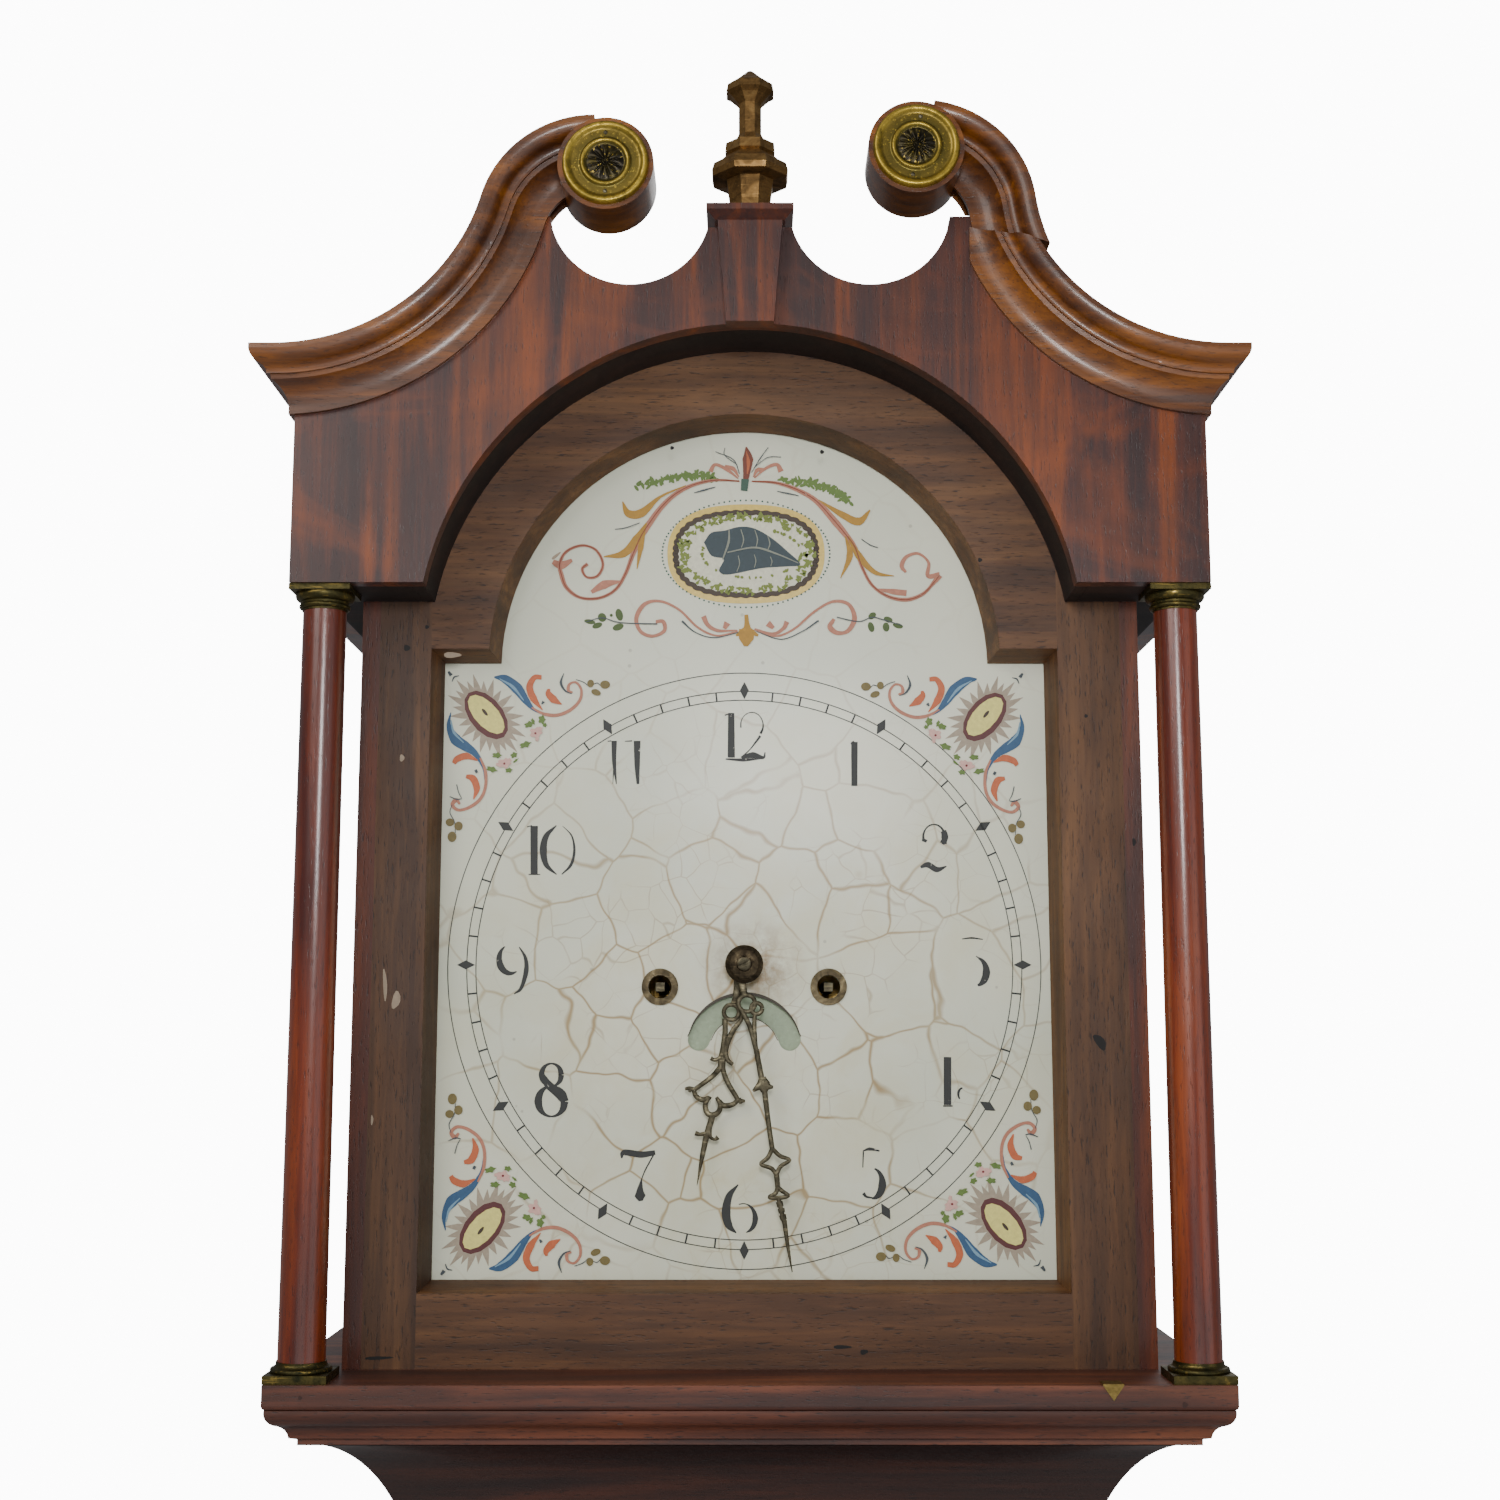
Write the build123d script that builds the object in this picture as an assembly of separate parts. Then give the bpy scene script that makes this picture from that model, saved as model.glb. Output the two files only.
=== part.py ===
"""An eight-day longcase clock with a swan-neck hood, in its own frame.

Millimetres. The origin is on the floor at the middle of the plinth's footprint, +X is to the
right as one faces the dial, +Y runs back to the wall and +Z is up.
"""
from build123d import *
from math import acos, atan2, cos, degrees, radians, sin, sqrt
import os

os.makedirs("parts", exist_ok=True)

# Dial
dial_width = 330.0
dial_thickness = 1.6
dial_centre_z = 1809.0
dial_centre_x = -3.0
dial_front_y = -73.5
dial_arch_radius = 134.5
winding_spacing = 88.6
winding_drop = 11.5
winding_hole_radius = 6.1
winding_ring_radius = 9.6
winding_square = 4.6
date_arc_drop = 45.8
date_slot_outer = 30.5
date_slot_inner = 19.0
date_slot_half_angle = 74.0

# Case carcass
wall_y = 117.5
floor_z = 0.0
board = 16.0
thin_board = 12.0
trunk_half = 165.0
trunk_front_y = -69.5
cheek_top_z = 1725.0
plinth_half = 213.0
plinth_front_y = -113.5
plinth_top_z = 470.0
skirting_height = 95.0
skirting_proud = 4.0
waist_rise = 48.0
throat_top_z = 1576.0
throat_drop = 106.0
throat_reach = 54.5
seat_thickness = 22.0
seat_back_y = 42.0
seat_front_gap = 8.0
line_slot_half = 6.0
line_slot_spare = 4.0
backboard_ear_half = 190.0
backboard_top_z = 2134.0
wall_screw_z = 2060.0
wall_screw_radius = 3.0

# Trunk door
door_half = 114.0
door_bottom_z = 585.0
door_shoulder_z = 1336.0
door_arch_radius = 78.0
door_lip = 12.0
door_lip_proud = 8.0
door_tongue = 16.0
door_gap = 1.5
door_bevel = 4.5
hinge_radius = 3.0
hinge_pin_radius = 1.3
shaft_clearance = 0.08
hinge_heights = (700.0, 1240.0)
hinge_length = 52.0

# Hood base and carcass
hood_half = 234.0
hood_front_y = -138.5
ledge_top_z = 1606.4
ledge_thickness = 12.0
hood_running_gap = 0.3
cheek_clearance = 3.0
hood_side_half = 205.0
hood_side_thickness = 9.5
hood_side_top_z = 2145.0
roof_thickness = 8.0
roof_setback = 12.5
dust_board = 6.0
pivot_plate_x = 174.0

# Mask round the dial
mask_front_y = -92.5
mask_thickness = 18.0
mask_half = 165.4
mask_splay = 4.7
mask_sill_z = 1648.0
mask_shoulder_z = 1970.0
mask_arch_radius = 135.2
arch_centre_z = 1968.0

# Columns
column_x = 219.0
column_y = -121.0
shaft_bottom_radius = 11.7
shaft_top_radius = 11.0
brass_square = 31.0
column_base_height = 9.0
capital_height = 12.0

# Frieze and pediment
frieze_bottom_z = 2000.0
fascia_thickness = 10.0
frieze_arch_radius = 169.0
frieze_side_thickness = 10.0
liner_thickness = 6.0
horn_top_z = 2119.4
neck_start_x = 241.7
neck_lower_radius = 108.0
neck_upper_radius = 60.0
neck_turn = 74.2
neck_band = 32.0
neck_projection = 20.0
fascia_step_z = 2195.0
fascia_middle_z = 2189.0
hollow_radius = 42.0
hollow_x = 62.5
hollow_z = 2200.0
scroll_x = 74.0
scroll_z = 2214.3
scroll_radius = 24.7
scroll_depth = 22.0
rosette_radius = 22.4
rosette_thickness = 4.0
crack_x = 149.0
crack_z = 2174.0
crack_slope = 22.0
crack_turn = 8.0
crack_shift = (5.0, 0.0, -1.2)
keystone_top_width = 33.5
keystone_foot_width = 24.6
keystone_foot_z = 2134.5
keystone_proud = 10.0
keystone_cap_width = 45.0
keystone_cap_height = 7.0
finial_height = 79.0

# Movement
plate_half = 62.0
plate_drop = 62.0
plate_rise = 95.0
plate_thickness = 3.0
front_plate_y = -30.0
back_plate_y = 33.0
arbor_radius = 1.3
cannon_radius = 2.6
pipe_radius = 4.0
barrel_arbor_radius = 3.6
pillar_x = 57.0
pillar_radius = 3.2
dial_foot_x = 52.0
minute_arbor_angle = 150.0
minute_arbor_radius = 0.9
crutch_y = 40.0
crutch_length = 130.0
spring_slot = 2.0
date_stud_radius = 1.6
bell_wall = 2.0
stirrup_half = 4.4
hammer_x = -40.0
hammer_z = 72.0
barrel_radius = 25.0
barrel_front_y = -18.0
barrel_back_y = 18.0
great_teeth = 96
strike_teeth = 78
centre_pinion_leaves = 8
centre_teeth = 60
third_pinion_leaves = 8
third_teeth = 56
escape_pinion_leaves = 7
escape_teeth = 30
escape_radius = 20.0
motion_teeth = 36
motion_pinion_leaves = 6
hour_teeth = 72
motion_distance = 25.9
third_arbor = (7.5, 27.6)
escape_arbor_z = 50.0
pallet_arbor_z = 78.3
wheel_thickness = 2.0
great_wheel_y = 22.5
centre_wheel_y = 28.0
third_wheel_y = -1.0
escape_wheel_y = -12.0
motion_wheel_y = -37.0
hour_wheel_y = -45.0
hour_hand_y = -80.0
minute_hand_y = -84.5
hand_thickness = 0.9
bell_radius = 48.0
bell_height = 30.0
bell_z = 1938.0

# Pendulum and weights
pendulum_length = 994.0
pendulum_y = 54.0
rod_radius = 2.6
bob_radius = 57.0
bob_thickness = 24.0
weight_radius = 32.0
weight_height = 185.0
weight_bottom_z = 790.0
strike_weight_lift = 60.0
pulley_radius = 22.5
line_radius = 0.75
line_clearance = 0.3
axle_radius = 2.0
stirrup_rise = 20.0
minute_rest_angle = 170.2
hour_rest_angle = 191.0

trunk_depth_back = wall_y - thin_board
ledge_bottom_z = ledge_top_z - ledge_thickness
base_moulding_bottom_z = throat_top_z + hood_running_gap
hood_bar_half = trunk_half + cheek_clearance
hood_bar_back_y = trunk_front_y - cheek_clearance
waist_top_z = plinth_top_z + waist_rise
seat_z = cheek_top_z + seat_thickness
mask_back_y = mask_front_y + mask_thickness
fascia_back_y = hood_front_y + fascia_thickness
side_inner = hood_side_half - hood_side_thickness
barrel_x = winding_spacing / 2
barrel_distance = sqrt(barrel_x ** 2 + winding_drop ** 2)
great_module = 2 * barrel_distance / (great_teeth + centre_pinion_leaves)
centre_module = 2 * sqrt(third_arbor[0] ** 2 + third_arbor[1] ** 2) / (centre_teeth + third_pinion_leaves)
third_module = (2 * sqrt(third_arbor[0] ** 2 + (escape_arbor_z - third_arbor[1]) ** 2)
                / (third_teeth + escape_pinion_leaves))
motion_module = motion_distance / motion_teeth
hour_module = 2 * motion_distance / (hour_teeth + motion_pinion_leaves)
suspension_z = dial_centre_z + pallet_arbor_z
bob_z = suspension_z - pendulum_length


def front_plane(back_y):
    """The upright plane at back_y that looks towards the viewer."""
    return Plane(origin=(0, back_y, 0), x_dir=(1, 0, 0), z_dir=(0, -1, 0))


def slab(x0, x1, y0, y1, z0, z1):
    """A squared board between two opposite corners."""
    return Pos((x0 + x1) / 2, (y0 + y1) / 2, (z0 + z1) / 2) * Box(x1 - x0, y1 - y0, z1 - z0)


def upright(outline, back_y, thickness):
    """A flat piece cut to an outline in X and Z, thickness forward of back_y."""
    return extrude(front_plane(back_y) * outline, amount=thickness)


def disc(x, z, back_y, thickness, radius):
    """A round plate that faces the viewer."""
    return upright(Pos(x, z) * Circle(radius), back_y, thickness)


def turned(points, x=0.0, y=0.0):
    """A piece turned about an upright axis, from radius and height pairs."""
    profile = Plane.XZ * make_face(Polyline(*points, close=True))
    return Pos(x, y, 0) * revolve(profile, Axis.Z)


def left_and_right(piece):
    """The piece and its mirror image across the middle of the case."""
    return [piece, mirror(piece, Plane.YZ)]


def save(name, *solids):
    """Write one named node from one or more separate solids."""
    children = []
    for item in solids:
        children += item if isinstance(item, list) else [item]
    shape = Compound(children=[solid for child in children for solid in child.solids()])
    export_step(shape, f"parts/{name}.step")


def mitred_moulding(profile, half, front_y, back_y, reach):
    """A moulding round the front and both sides, mitred at the corners.

    The profile lies in X and Y: X is how far it stands out and Y is its height."""
    low_z = profile.bounding_box().min.Y - 1
    tall = profile.bounding_box().max.Y + 1 - low_z
    front_plan = Polyline((-half, front_y), (-half - reach, front_y - reach),
                          (half + reach, front_y - reach), (half, front_y), close=True)
    side_plan = Polyline((half, front_y), (half + reach, front_y - reach),
                         (half + reach, back_y), (half, back_y), close=True)
    across = Plane(origin=(0, front_y, 0), x_dir=(0, -1, 0), z_dir=(-1, 0, 0))
    along = Plane(origin=(half, back_y, 0), x_dir=(1, 0, 0), z_dir=(0, -1, 0))
    front = extrude(across * profile, amount=half + reach, both=True)
    front &= extrude(Pos(0, 0, low_z) * make_face(front_plan), amount=tall)
    side = extrude(along * profile, amount=back_y - front_y + reach)
    side &= extrude(Pos(0, 0, low_z) * make_face(side_plan), amount=tall)
    return front, side


def hollow_profile(reach, low_z, high_z):
    """A quarter-ellipse hollow from a thin foot at low_z out to reach at high_z."""
    bend = EllipticalCenterArc((reach, low_z), reach, high_z - low_z, start_angle=90, arc_size=90)
    edges = bend + Line((0, low_z), (0, high_z)) + Line((0, high_z), (reach, high_z))
    return make_face(edges)


def break_arch(half, low, shoulder, radius, centre):
    """A tall opening or panel whose top steps in to a round arch."""
    outline = Pos(0, (low + shoulder) / 2) * Rectangle(2 * half, shoulder - low)
    outline += Pos(0, (shoulder + centre) / 2 - 1) * Rectangle(2 * radius, centre - shoulder + 2)
    outline += Pos(0, centre) * Circle(radius)
    return outline


def arc_about(centre, radius, start, end):
    """The arc of a circle in X and Z between two angles in degrees."""
    spots = []
    for angle in (start, (start + end) / 2, end):
        spots.append((centre[0] + radius * cos(radians(angle)), centre[1] + radius * sin(radians(angle))))
    return ThreePointArc(*spots)


def gear_outline(teeth, module, phase, tip=1.05, root=1.4, width=0.6):
    """A wheel with plain pointed teeth, one of them centred at phase degrees."""
    pitch = 360 / teeth
    tip_radius = module * (teeth / 2 + tip)
    root_radius = module * (teeth / 2 - root)
    points = []
    for tooth in range(teeth):
        middle = phase + tooth * pitch
        for radius, turn in ((root_radius, -width / 2), (tip_radius, 0), (root_radius, width / 2)):
            angle = radians(middle + turn * pitch)
            points.append((radius * cos(angle), radius * sin(angle)))
    return make_face(Polyline(*points, close=True))


def pinion_outline(leaves, module, phase):
    """A pinion with a gap between two leaves centred at phase degrees."""
    pitch = 360 / leaves
    tip_radius = module * (leaves / 2 + 0.6)
    root_radius = module * (leaves / 2 - 1.6)
    points = []
    for leaf in range(leaves):
        middle = phase + (leaf + 0.5) * pitch
        for radius, turn in ((root_radius, -0.17), (tip_radius, -0.09), (tip_radius, 0.09), (root_radius, 0.17)):
            angle = radians(middle + turn * pitch)
            points.append((radius * cos(angle), radius * sin(angle)))
    return make_face(Polyline(*points, close=True))


def crossings(rim_inner, hub, arm, count=4):
    """The sector-shaped openings between the arms of a wheel."""
    ring = Circle(rim_inner) - Circle(hub)
    for index in range(count):
        ring -= Rot(0, 0, index * 360 / count + 45) * Pos(rim_inner / 2, 0) * Rectangle(rim_inner + 2, arm)
    return ring


def wheel(x, z, back_y, teeth, module, phase, bore=0.0):
    """A crossed-out brass wheel with its middle at x and z from the dial centre."""
    pitch_radius = teeth * module / 2
    face = gear_outline(teeth, module, phase)
    face -= crossings(pitch_radius * 0.84, pitch_radius * 0.26, pitch_radius * 0.12)
    if bore:
        face -= Circle(bore)
    return upright(at_dial(x, z) * face, back_y, wheel_thickness)


def at_dial(x, z):
    """A place in X and Z given from the middle of the dial."""
    return Pos(dial_centre_x + x, dial_centre_z + z)


def rod(x, z, back_y, front_y, radius):
    """A round rod from back to front, placed from the dial centre."""
    return upright(at_dial(x, z) * Circle(radius), back_y, back_y - front_y)


def direction(from_point, to_point):
    """The angle in degrees from one point to another in X and Z."""
    return degrees(atan2(to_point[1] - from_point[1], to_point[0] - from_point[0]))


# Case carcass: trunk, plinth and backboard

def make_case():
    trunk_low = plinth_top_z - 60
    side = slab(trunk_half - board, trunk_half, trunk_front_y, trunk_depth_back, trunk_low, cheek_top_z)
    frame_half = trunk_half - board
    save("trunk_sides", left_and_right(side))

    frame = slab(-frame_half, frame_half, trunk_front_y, trunk_front_y + board, trunk_low, throat_top_z)
    opening = break_arch(door_half - door_lip, door_bottom_z + door_lip, door_shoulder_z - door_lip,
                         door_arch_radius - door_lip, door_shoulder_z)
    frame -= upright(opening, trunk_front_y + board + 1, board + 2)
    save("trunk_front_frame", frame)

    foot = waist_top_z
    reach = plinth_half - trunk_half
    waist_line = EllipticalCenterArc((reach, foot), reach - 3, waist_rise - 6, start_angle=180, arc_size=90)
    waist = waist_line + Line((3, foot), (0, foot)) + Line((0, foot), (0, plinth_top_z))
    waist += Line((0, plinth_top_z), (reach, plinth_top_z)) + Line((reach, plinth_top_z), (reach, plinth_top_z + 6))
    front, right = mitred_moulding(make_face(waist), trunk_half, trunk_front_y, wall_y, reach)
    save("waist_moulding", front, left_and_right(right))

    throat = hollow_profile(throat_reach, throat_top_z - throat_drop, throat_top_z)
    front, right = mitred_moulding(throat, trunk_half, trunk_front_y, wall_y, throat_reach)
    save("throat_moulding", front, left_and_right(right))

    panel = slab(-plinth_half, plinth_half, plinth_front_y, plinth_front_y + board, floor_z, plinth_top_z)
    cheek = slab(plinth_half - board, plinth_half, plinth_front_y + board, trunk_depth_back,
                 floor_z, plinth_top_z)
    save("plinth_panels", panel, left_and_right(cheek))

    step = skirting_proud
    skirt = make_face(Polyline((0, floor_z), (step, floor_z), (step, skirting_height - 8),
                               (step * 0.4, skirting_height), (0, skirting_height), close=True))
    front, right = mitred_moulding(skirt, plinth_half, plinth_front_y, wall_y, step)
    save("plinth_skirting", front, left_and_right(right))

    inner = plinth_half - board
    floor = slab(-inner, inner, plinth_front_y + board, trunk_depth_back, floor_z, floor_z + thin_board)
    batten = slab(trunk_half, inner, trunk_front_y, trunk_depth_back,
                  plinth_top_z - 40, plinth_top_z)
    front_batten = slab(-inner, inner, plinth_front_y + board, trunk_front_y, plinth_top_z - 40, plinth_top_z)
    save("plinth_battens", floor, front_batten, left_and_right(batten))

    back = slab(-plinth_half, plinth_half, trunk_depth_back, wall_y, floor_z, plinth_top_z)
    back += slab(-trunk_half, trunk_half, trunk_depth_back, wall_y, plinth_top_z, ledge_top_z + 4)
    back += slab(-backboard_ear_half, backboard_ear_half, trunk_depth_back, wall_y,
                 ledge_top_z + 4, backboard_top_z)
    back -= Pos(0, wall_y - thin_board / 2, wall_screw_z) * Rot(90, 0, 0) * Cylinder(wall_screw_radius, thin_board + 2)
    save("backboard", back)


def make_seat_board():
    seat = slab(-trunk_half, trunk_half, trunk_front_y + board + seat_front_gap, seat_back_y, cheek_top_z, seat_z)
    for line_x in line_places():
        seat -= slab(line_x - line_slot_half, line_x + line_slot_half, barrel_front_y - line_slot_spare,
                     barrel_back_y + line_slot_spare, cheek_top_z - 1, seat_z + 1)
    save("seat_board", seat)


def line_places():
    """Where each gut line hangs beside its barrel."""
    hang = barrel_radius + line_radius + line_clearance
    return [dial_centre_x + side * barrel_x - hang for side in (1, -1)]


# Trunk door, hinged on the right

def make_door():
    lip_back = trunk_front_y - hood_running_gap
    outline = break_arch(door_half, door_bottom_z, door_shoulder_z, door_arch_radius, door_shoulder_z)
    square_edge = door_lip_proud - door_bevel
    leaf = upright(outline, lip_back, square_edge)
    leaf += extrude(front_plane(lip_back - square_edge) * outline, amount=door_bevel, taper=40)
    inset = door_lip + door_gap
    tongue = break_arch(door_half - inset, door_bottom_z + inset, door_shoulder_z - inset,
                        door_arch_radius - inset, door_shoulder_z)
    leaf += upright(tongue, lip_back + door_tongue, door_tongue)
    save("trunk_door", leaf)

    pin_x = door_half + hinge_radius + 0.5
    pin_y = lip_back - hinge_radius - 0.2
    case_side = []
    door_side = []
    for middle in hinge_heights:
        third = hinge_length / 3
        pin = Pos(pin_x, pin_y, middle) * Cylinder(hinge_pin_radius, hinge_length)
        knuckles = Pos(pin_x, pin_y, middle) * Cylinder(hinge_radius, hinge_length)
        middle_knuckle = Pos(pin_x, pin_y, middle) * Cylinder(hinge_radius + 1, third + 0.6)
        flap = slab(pin_x, pin_x + 20, trunk_front_y - 1.4, trunk_front_y, middle - hinge_length / 2,
                    middle + hinge_length / 2)
        case_side.append(knuckles + flap - middle_knuckle + pin)
        knuckle = Pos(pin_x, pin_y, middle) * Cylinder(hinge_radius, third)
        flap = slab(door_half, pin_x - hinge_radius + 1.0, lip_back - 7, lip_back, middle - third / 2,
                    middle + third / 2)
        bore = Pos(pin_x, pin_y, middle) * Cylinder(hinge_pin_radius + shaft_clearance, hinge_length)
        door_side.append(knuckle + flap - bore)
    save("door_hinge_case_leaves", case_side)
    save("door_hinge_leaves", door_side)

    plate_back = lip_back - door_lip_proud
    lock_x = -door_half + 30
    lock_z = (door_bottom_z + door_shoulder_z) / 2 + 60
    shield = Pos(lock_x, lock_z) * (Ellipse(8, 13) + Pos(0, 13) * Circle(4) + Pos(0, -13) * Circle(3))
    keyhole = Pos(lock_x, lock_z) * (Pos(0, 2.5) * Circle(1.9) + Pos(0, -1.5) * Rectangle(1.8, 7))
    escutcheon = upright(shield - keyhole, plate_back, 1.2)
    lock_back = lip_back + door_tongue
    lock_case = slab(lock_x - 14, lock_x + 18, lock_back, lock_back + 9, lock_z - 22, lock_z + 22)
    save("door_lock", escutcheon, lock_case)


# Hood base, sides and mask

def make_hood_base():
    bar = hood_half - hood_bar_half
    rounding = 2.5
    edge = Line((0, ledge_bottom_z), (bar - rounding, ledge_bottom_z))
    edge += ThreePointArc((bar - rounding, ledge_bottom_z),
                          (bar - 0.3 * rounding, ledge_bottom_z + 0.3 * rounding),
                          (bar, ledge_bottom_z + rounding))
    edge += Polyline((bar, ledge_bottom_z + rounding), (bar, ledge_top_z), (0, ledge_top_z), (0, ledge_bottom_z))
    front, right = mitred_moulding(make_face(edge), hood_bar_half, hood_bar_back_y, wall_y, bar)
    save("hood_ledge", front, left_and_right(right))

    low = base_moulding_bottom_z
    out = bar - 14.7
    curve = Polyline((0, ledge_bottom_z), (0, low), (out, low), (out, low + 2.4), (out + 3.6, low + 3.6))
    curve += ThreePointArc((out + 3.6, low + 3.6), (out + 5.0, low + 7.4), (out + 8.8, low + 10.2))
    curve += ThreePointArc((out + 8.8, low + 10.2), (out + 12.4, low + 13.0), (out + 13.6, ledge_bottom_z))
    curve += Line((out + 13.6, ledge_bottom_z), (0, ledge_bottom_z))
    front, right = mitred_moulding(make_face(curve), hood_bar_half, hood_bar_back_y, wall_y, bar)
    save("hood_base_moulding", front, left_and_right(right))

    side = slab(side_inner, hood_side_half, mask_front_y, wall_y, ledge_top_z, hood_side_top_z)
    save("hood_sides", left_and_right(side))

    top = slab(-hood_side_half, hood_side_half, mask_front_y + roof_setback, wall_y, hood_side_top_z,
               hood_side_top_z + roof_thickness)
    strip = slab(hood_side_half, hood_half, fascia_back_y, wall_y, horn_top_z - dust_board, horn_top_z)
    save("hood_roof", top, left_and_right(strip))

    plate_low = ledge_top_z - 7
    tongue = front_plane(hood_front_y) * make_face(Polyline(
        (pivot_plate_x - 5, ledge_top_z), (pivot_plate_x, plate_low), (pivot_plate_x + 5, ledge_top_z), close=True))
    plate = extrude(tongue, amount=0.8)
    plate += slab(pivot_plate_x - 5, pivot_plate_x + 5, hood_front_y - 0.8, hood_front_y + 9,
                  ledge_top_z, ledge_top_z + 0.8)
    save("door_pivot_plate", plate)


def make_mask():
    front_half = mask_half
    back_half = mask_half - mask_splay
    middle = dial_centre_x
    tall = hood_side_top_z - ledge_top_z

    def stile(sign):
        plan = Polyline((sign * side_inner, mask_front_y), (middle + sign * front_half, mask_front_y),
                        (middle + sign * back_half, mask_back_y), (sign * side_inner, mask_back_y), close=True)
        return extrude(Pos(0, 0, ledge_top_z) * make_face(plan), amount=tall)

    stiles = [stile(sign).solids()[0] for sign in (-1, 1)]
    save("mask_stiles", stiles)

    plan = Polyline((middle - front_half, mask_front_y), (middle + front_half, mask_front_y),
                    (middle + back_half, mask_back_y), (middle - back_half, mask_back_y), close=True)
    between = make_face(plan)
    sill = extrude(Pos(0, 0, ledge_top_z) * between, amount=mask_sill_z - ledge_top_z)
    sill -= splay_cut(mask_sill_z, -mask_splay)
    arch = extrude(Pos(0, 0, mask_shoulder_z) * between, amount=hood_side_top_z - mask_shoulder_z)
    arch -= splay_cut(mask_shoulder_z, mask_splay)
    cone = Plane(origin=(middle, mask_back_y, arch_centre_z), z_dir=(0, -1, 0))
    splay_angle = degrees(atan2(mask_splay, mask_thickness))
    arch -= extrude(cone * Circle(mask_arch_radius - mask_splay), amount=mask_thickness, taper=-splay_angle)
    save("mask_rails", sill, arch)


def splay_cut(edge_z, rise):
    """The sloping sliver taken off an edge of the mask, from nothing at its back to rise in front."""
    section = Plane.YZ * make_face(Polyline((mask_back_y, edge_z), (mask_front_y - 1, edge_z),
                                            (mask_front_y - 1, edge_z + rise * 1.055), close=True))
    return extrude(section, amount=hood_half, both=True)


# Columns

def make_columns():
    base_top = ledge_top_z + column_base_height
    shaft_top = frieze_bottom_z - capital_height
    shaft = turned([(0, base_top), (shaft_bottom_radius, base_top), (shaft_top_radius, shaft_top), (0, shaft_top)],
                   column_x, column_y)
    save("column_shafts", left_and_right(shaft))

    plinth_top = ledge_top_z + 4
    ring = shaft_bottom_radius + 0.6
    foot = Polyline((0, plinth_top), (14.6, plinth_top))
    foot += ThreePointArc((14.6, plinth_top), (15.0, plinth_top + 1.2), (13.9, plinth_top + 2.4))
    foot += ThreePointArc((13.9, plinth_top + 2.4), (12.7, plinth_top + 3.1), (ring, plinth_top + 4.0))
    foot += Polyline((ring, plinth_top + 4.0), (ring, base_top), (0, base_top), (0, plinth_top))
    base = Pos(column_x, column_y, 0) * revolve(Plane.XZ * make_face(foot), Axis.Z)
    base += slab(column_x - brass_square / 2, column_x + brass_square / 2, column_y - brass_square / 2,
                 column_y + brass_square / 2, ledge_top_z, plinth_top)

    neck = shaft_top_radius + 0.5
    abacus = frieze_bottom_z - 3
    head = Polyline((0, shaft_top), (neck, shaft_top), (neck, shaft_top + 1))
    head += ThreePointArc((neck, shaft_top + 1), (neck + 1.6, shaft_top + 2.2), (neck + 0.6, shaft_top + 3.6))
    head += Line((neck + 0.6, shaft_top + 3.6), (neck + 0.8, shaft_top + 4.6))
    head += ThreePointArc((neck + 0.8, shaft_top + 4.6), (neck + 3.2, shaft_top + 6.4), (neck + 3.4, abacus))
    head += Polyline((neck + 3.4, abacus), (0, abacus), (0, shaft_top))
    capital = Pos(column_x, column_y, 0) * revolve(Plane.XZ * make_face(head), Axis.Z)
    capital += slab(column_x - brass_square / 2, column_x + brass_square / 2, column_y - brass_square / 2,
                    column_y + brass_square / 2, abacus, frieze_bottom_z)
    save("column_brasses", left_and_right(base), left_and_right(capital))


# Frieze and swan-neck pediment

def make_frieze():
    under = 3.0
    low_centre = (-neck_start_x, horn_top_z + neck_lower_radius)
    radius = neck_lower_radius + under
    side_angle = degrees(acos((neck_start_x - hood_half) / radius))
    step_angle = degrees(acos((low_centre[1] - fascia_step_z) / radius))
    arch_x = sqrt(frieze_arch_radius ** 2 - (frieze_bottom_z - arch_centre_z) ** 2)
    arch_angle = degrees(atan2(frieze_bottom_z - arch_centre_z, arch_x))
    hollow_in = degrees(acos((hollow_z - fascia_middle_z) / hollow_radius))
    hollow_out = degrees(acos((hollow_z - fascia_step_z) / hollow_radius))
    hollow = arc_about((-hollow_x, hollow_z), hollow_radius, -90 + hollow_in, -90 - hollow_out)
    flank = arc_about(low_centre, radius, -90 + step_angle, -side_angle)
    crown = arc_about((0, arch_centre_z), frieze_arch_radius, 180 - arch_angle, 90)
    outline = hollow + flank + crown
    outline += Polyline(crown @ 1, (0, fascia_middle_z), hollow @ 0)
    outline += Line(hollow @ 1, flank @ 0)
    outline += Polyline(flank @ 1, (-hood_half, frieze_bottom_z), crown @ 0)
    half_face = make_face(outline)
    face = half_face + mirror(half_face, Plane.YZ)
    save("pediment_fascia", upright(face, fascia_back_y, fascia_thickness))

    side_low = frieze_bottom_z
    side_top = horn_top_z - dust_board
    inner = hood_half - frieze_side_thickness
    save("frieze_sides", left_and_right(slab(inner, hood_half, fascia_back_y, wall_y, side_low, side_top)))

    liner_in = frieze_arch_radius + 1
    liner_out = liner_in + liner_thickness
    depth = mask_front_y - fascia_back_y
    ring = Pos(0, arch_centre_z) * (Circle(liner_out) - Circle(liner_in))
    ring &= Pos(0, side_low + liner_out) * Rectangle(2 * liner_out + 2, 2 * liner_out)
    liner = upright(ring, mask_front_y, depth)
    liner_x = sqrt(liner_out ** 2 - (frieze_bottom_z - arch_centre_z) ** 2) + 0.1
    strip = slab(liner_x, inner, fascia_back_y, mask_front_y, side_low, side_low + 10)
    side_strip = slab(hood_side_half, inner, mask_front_y, wall_y, side_low, side_low + 10)
    save("frieze_soffits", liner, left_and_right(strip), left_and_right(side_strip))


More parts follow.
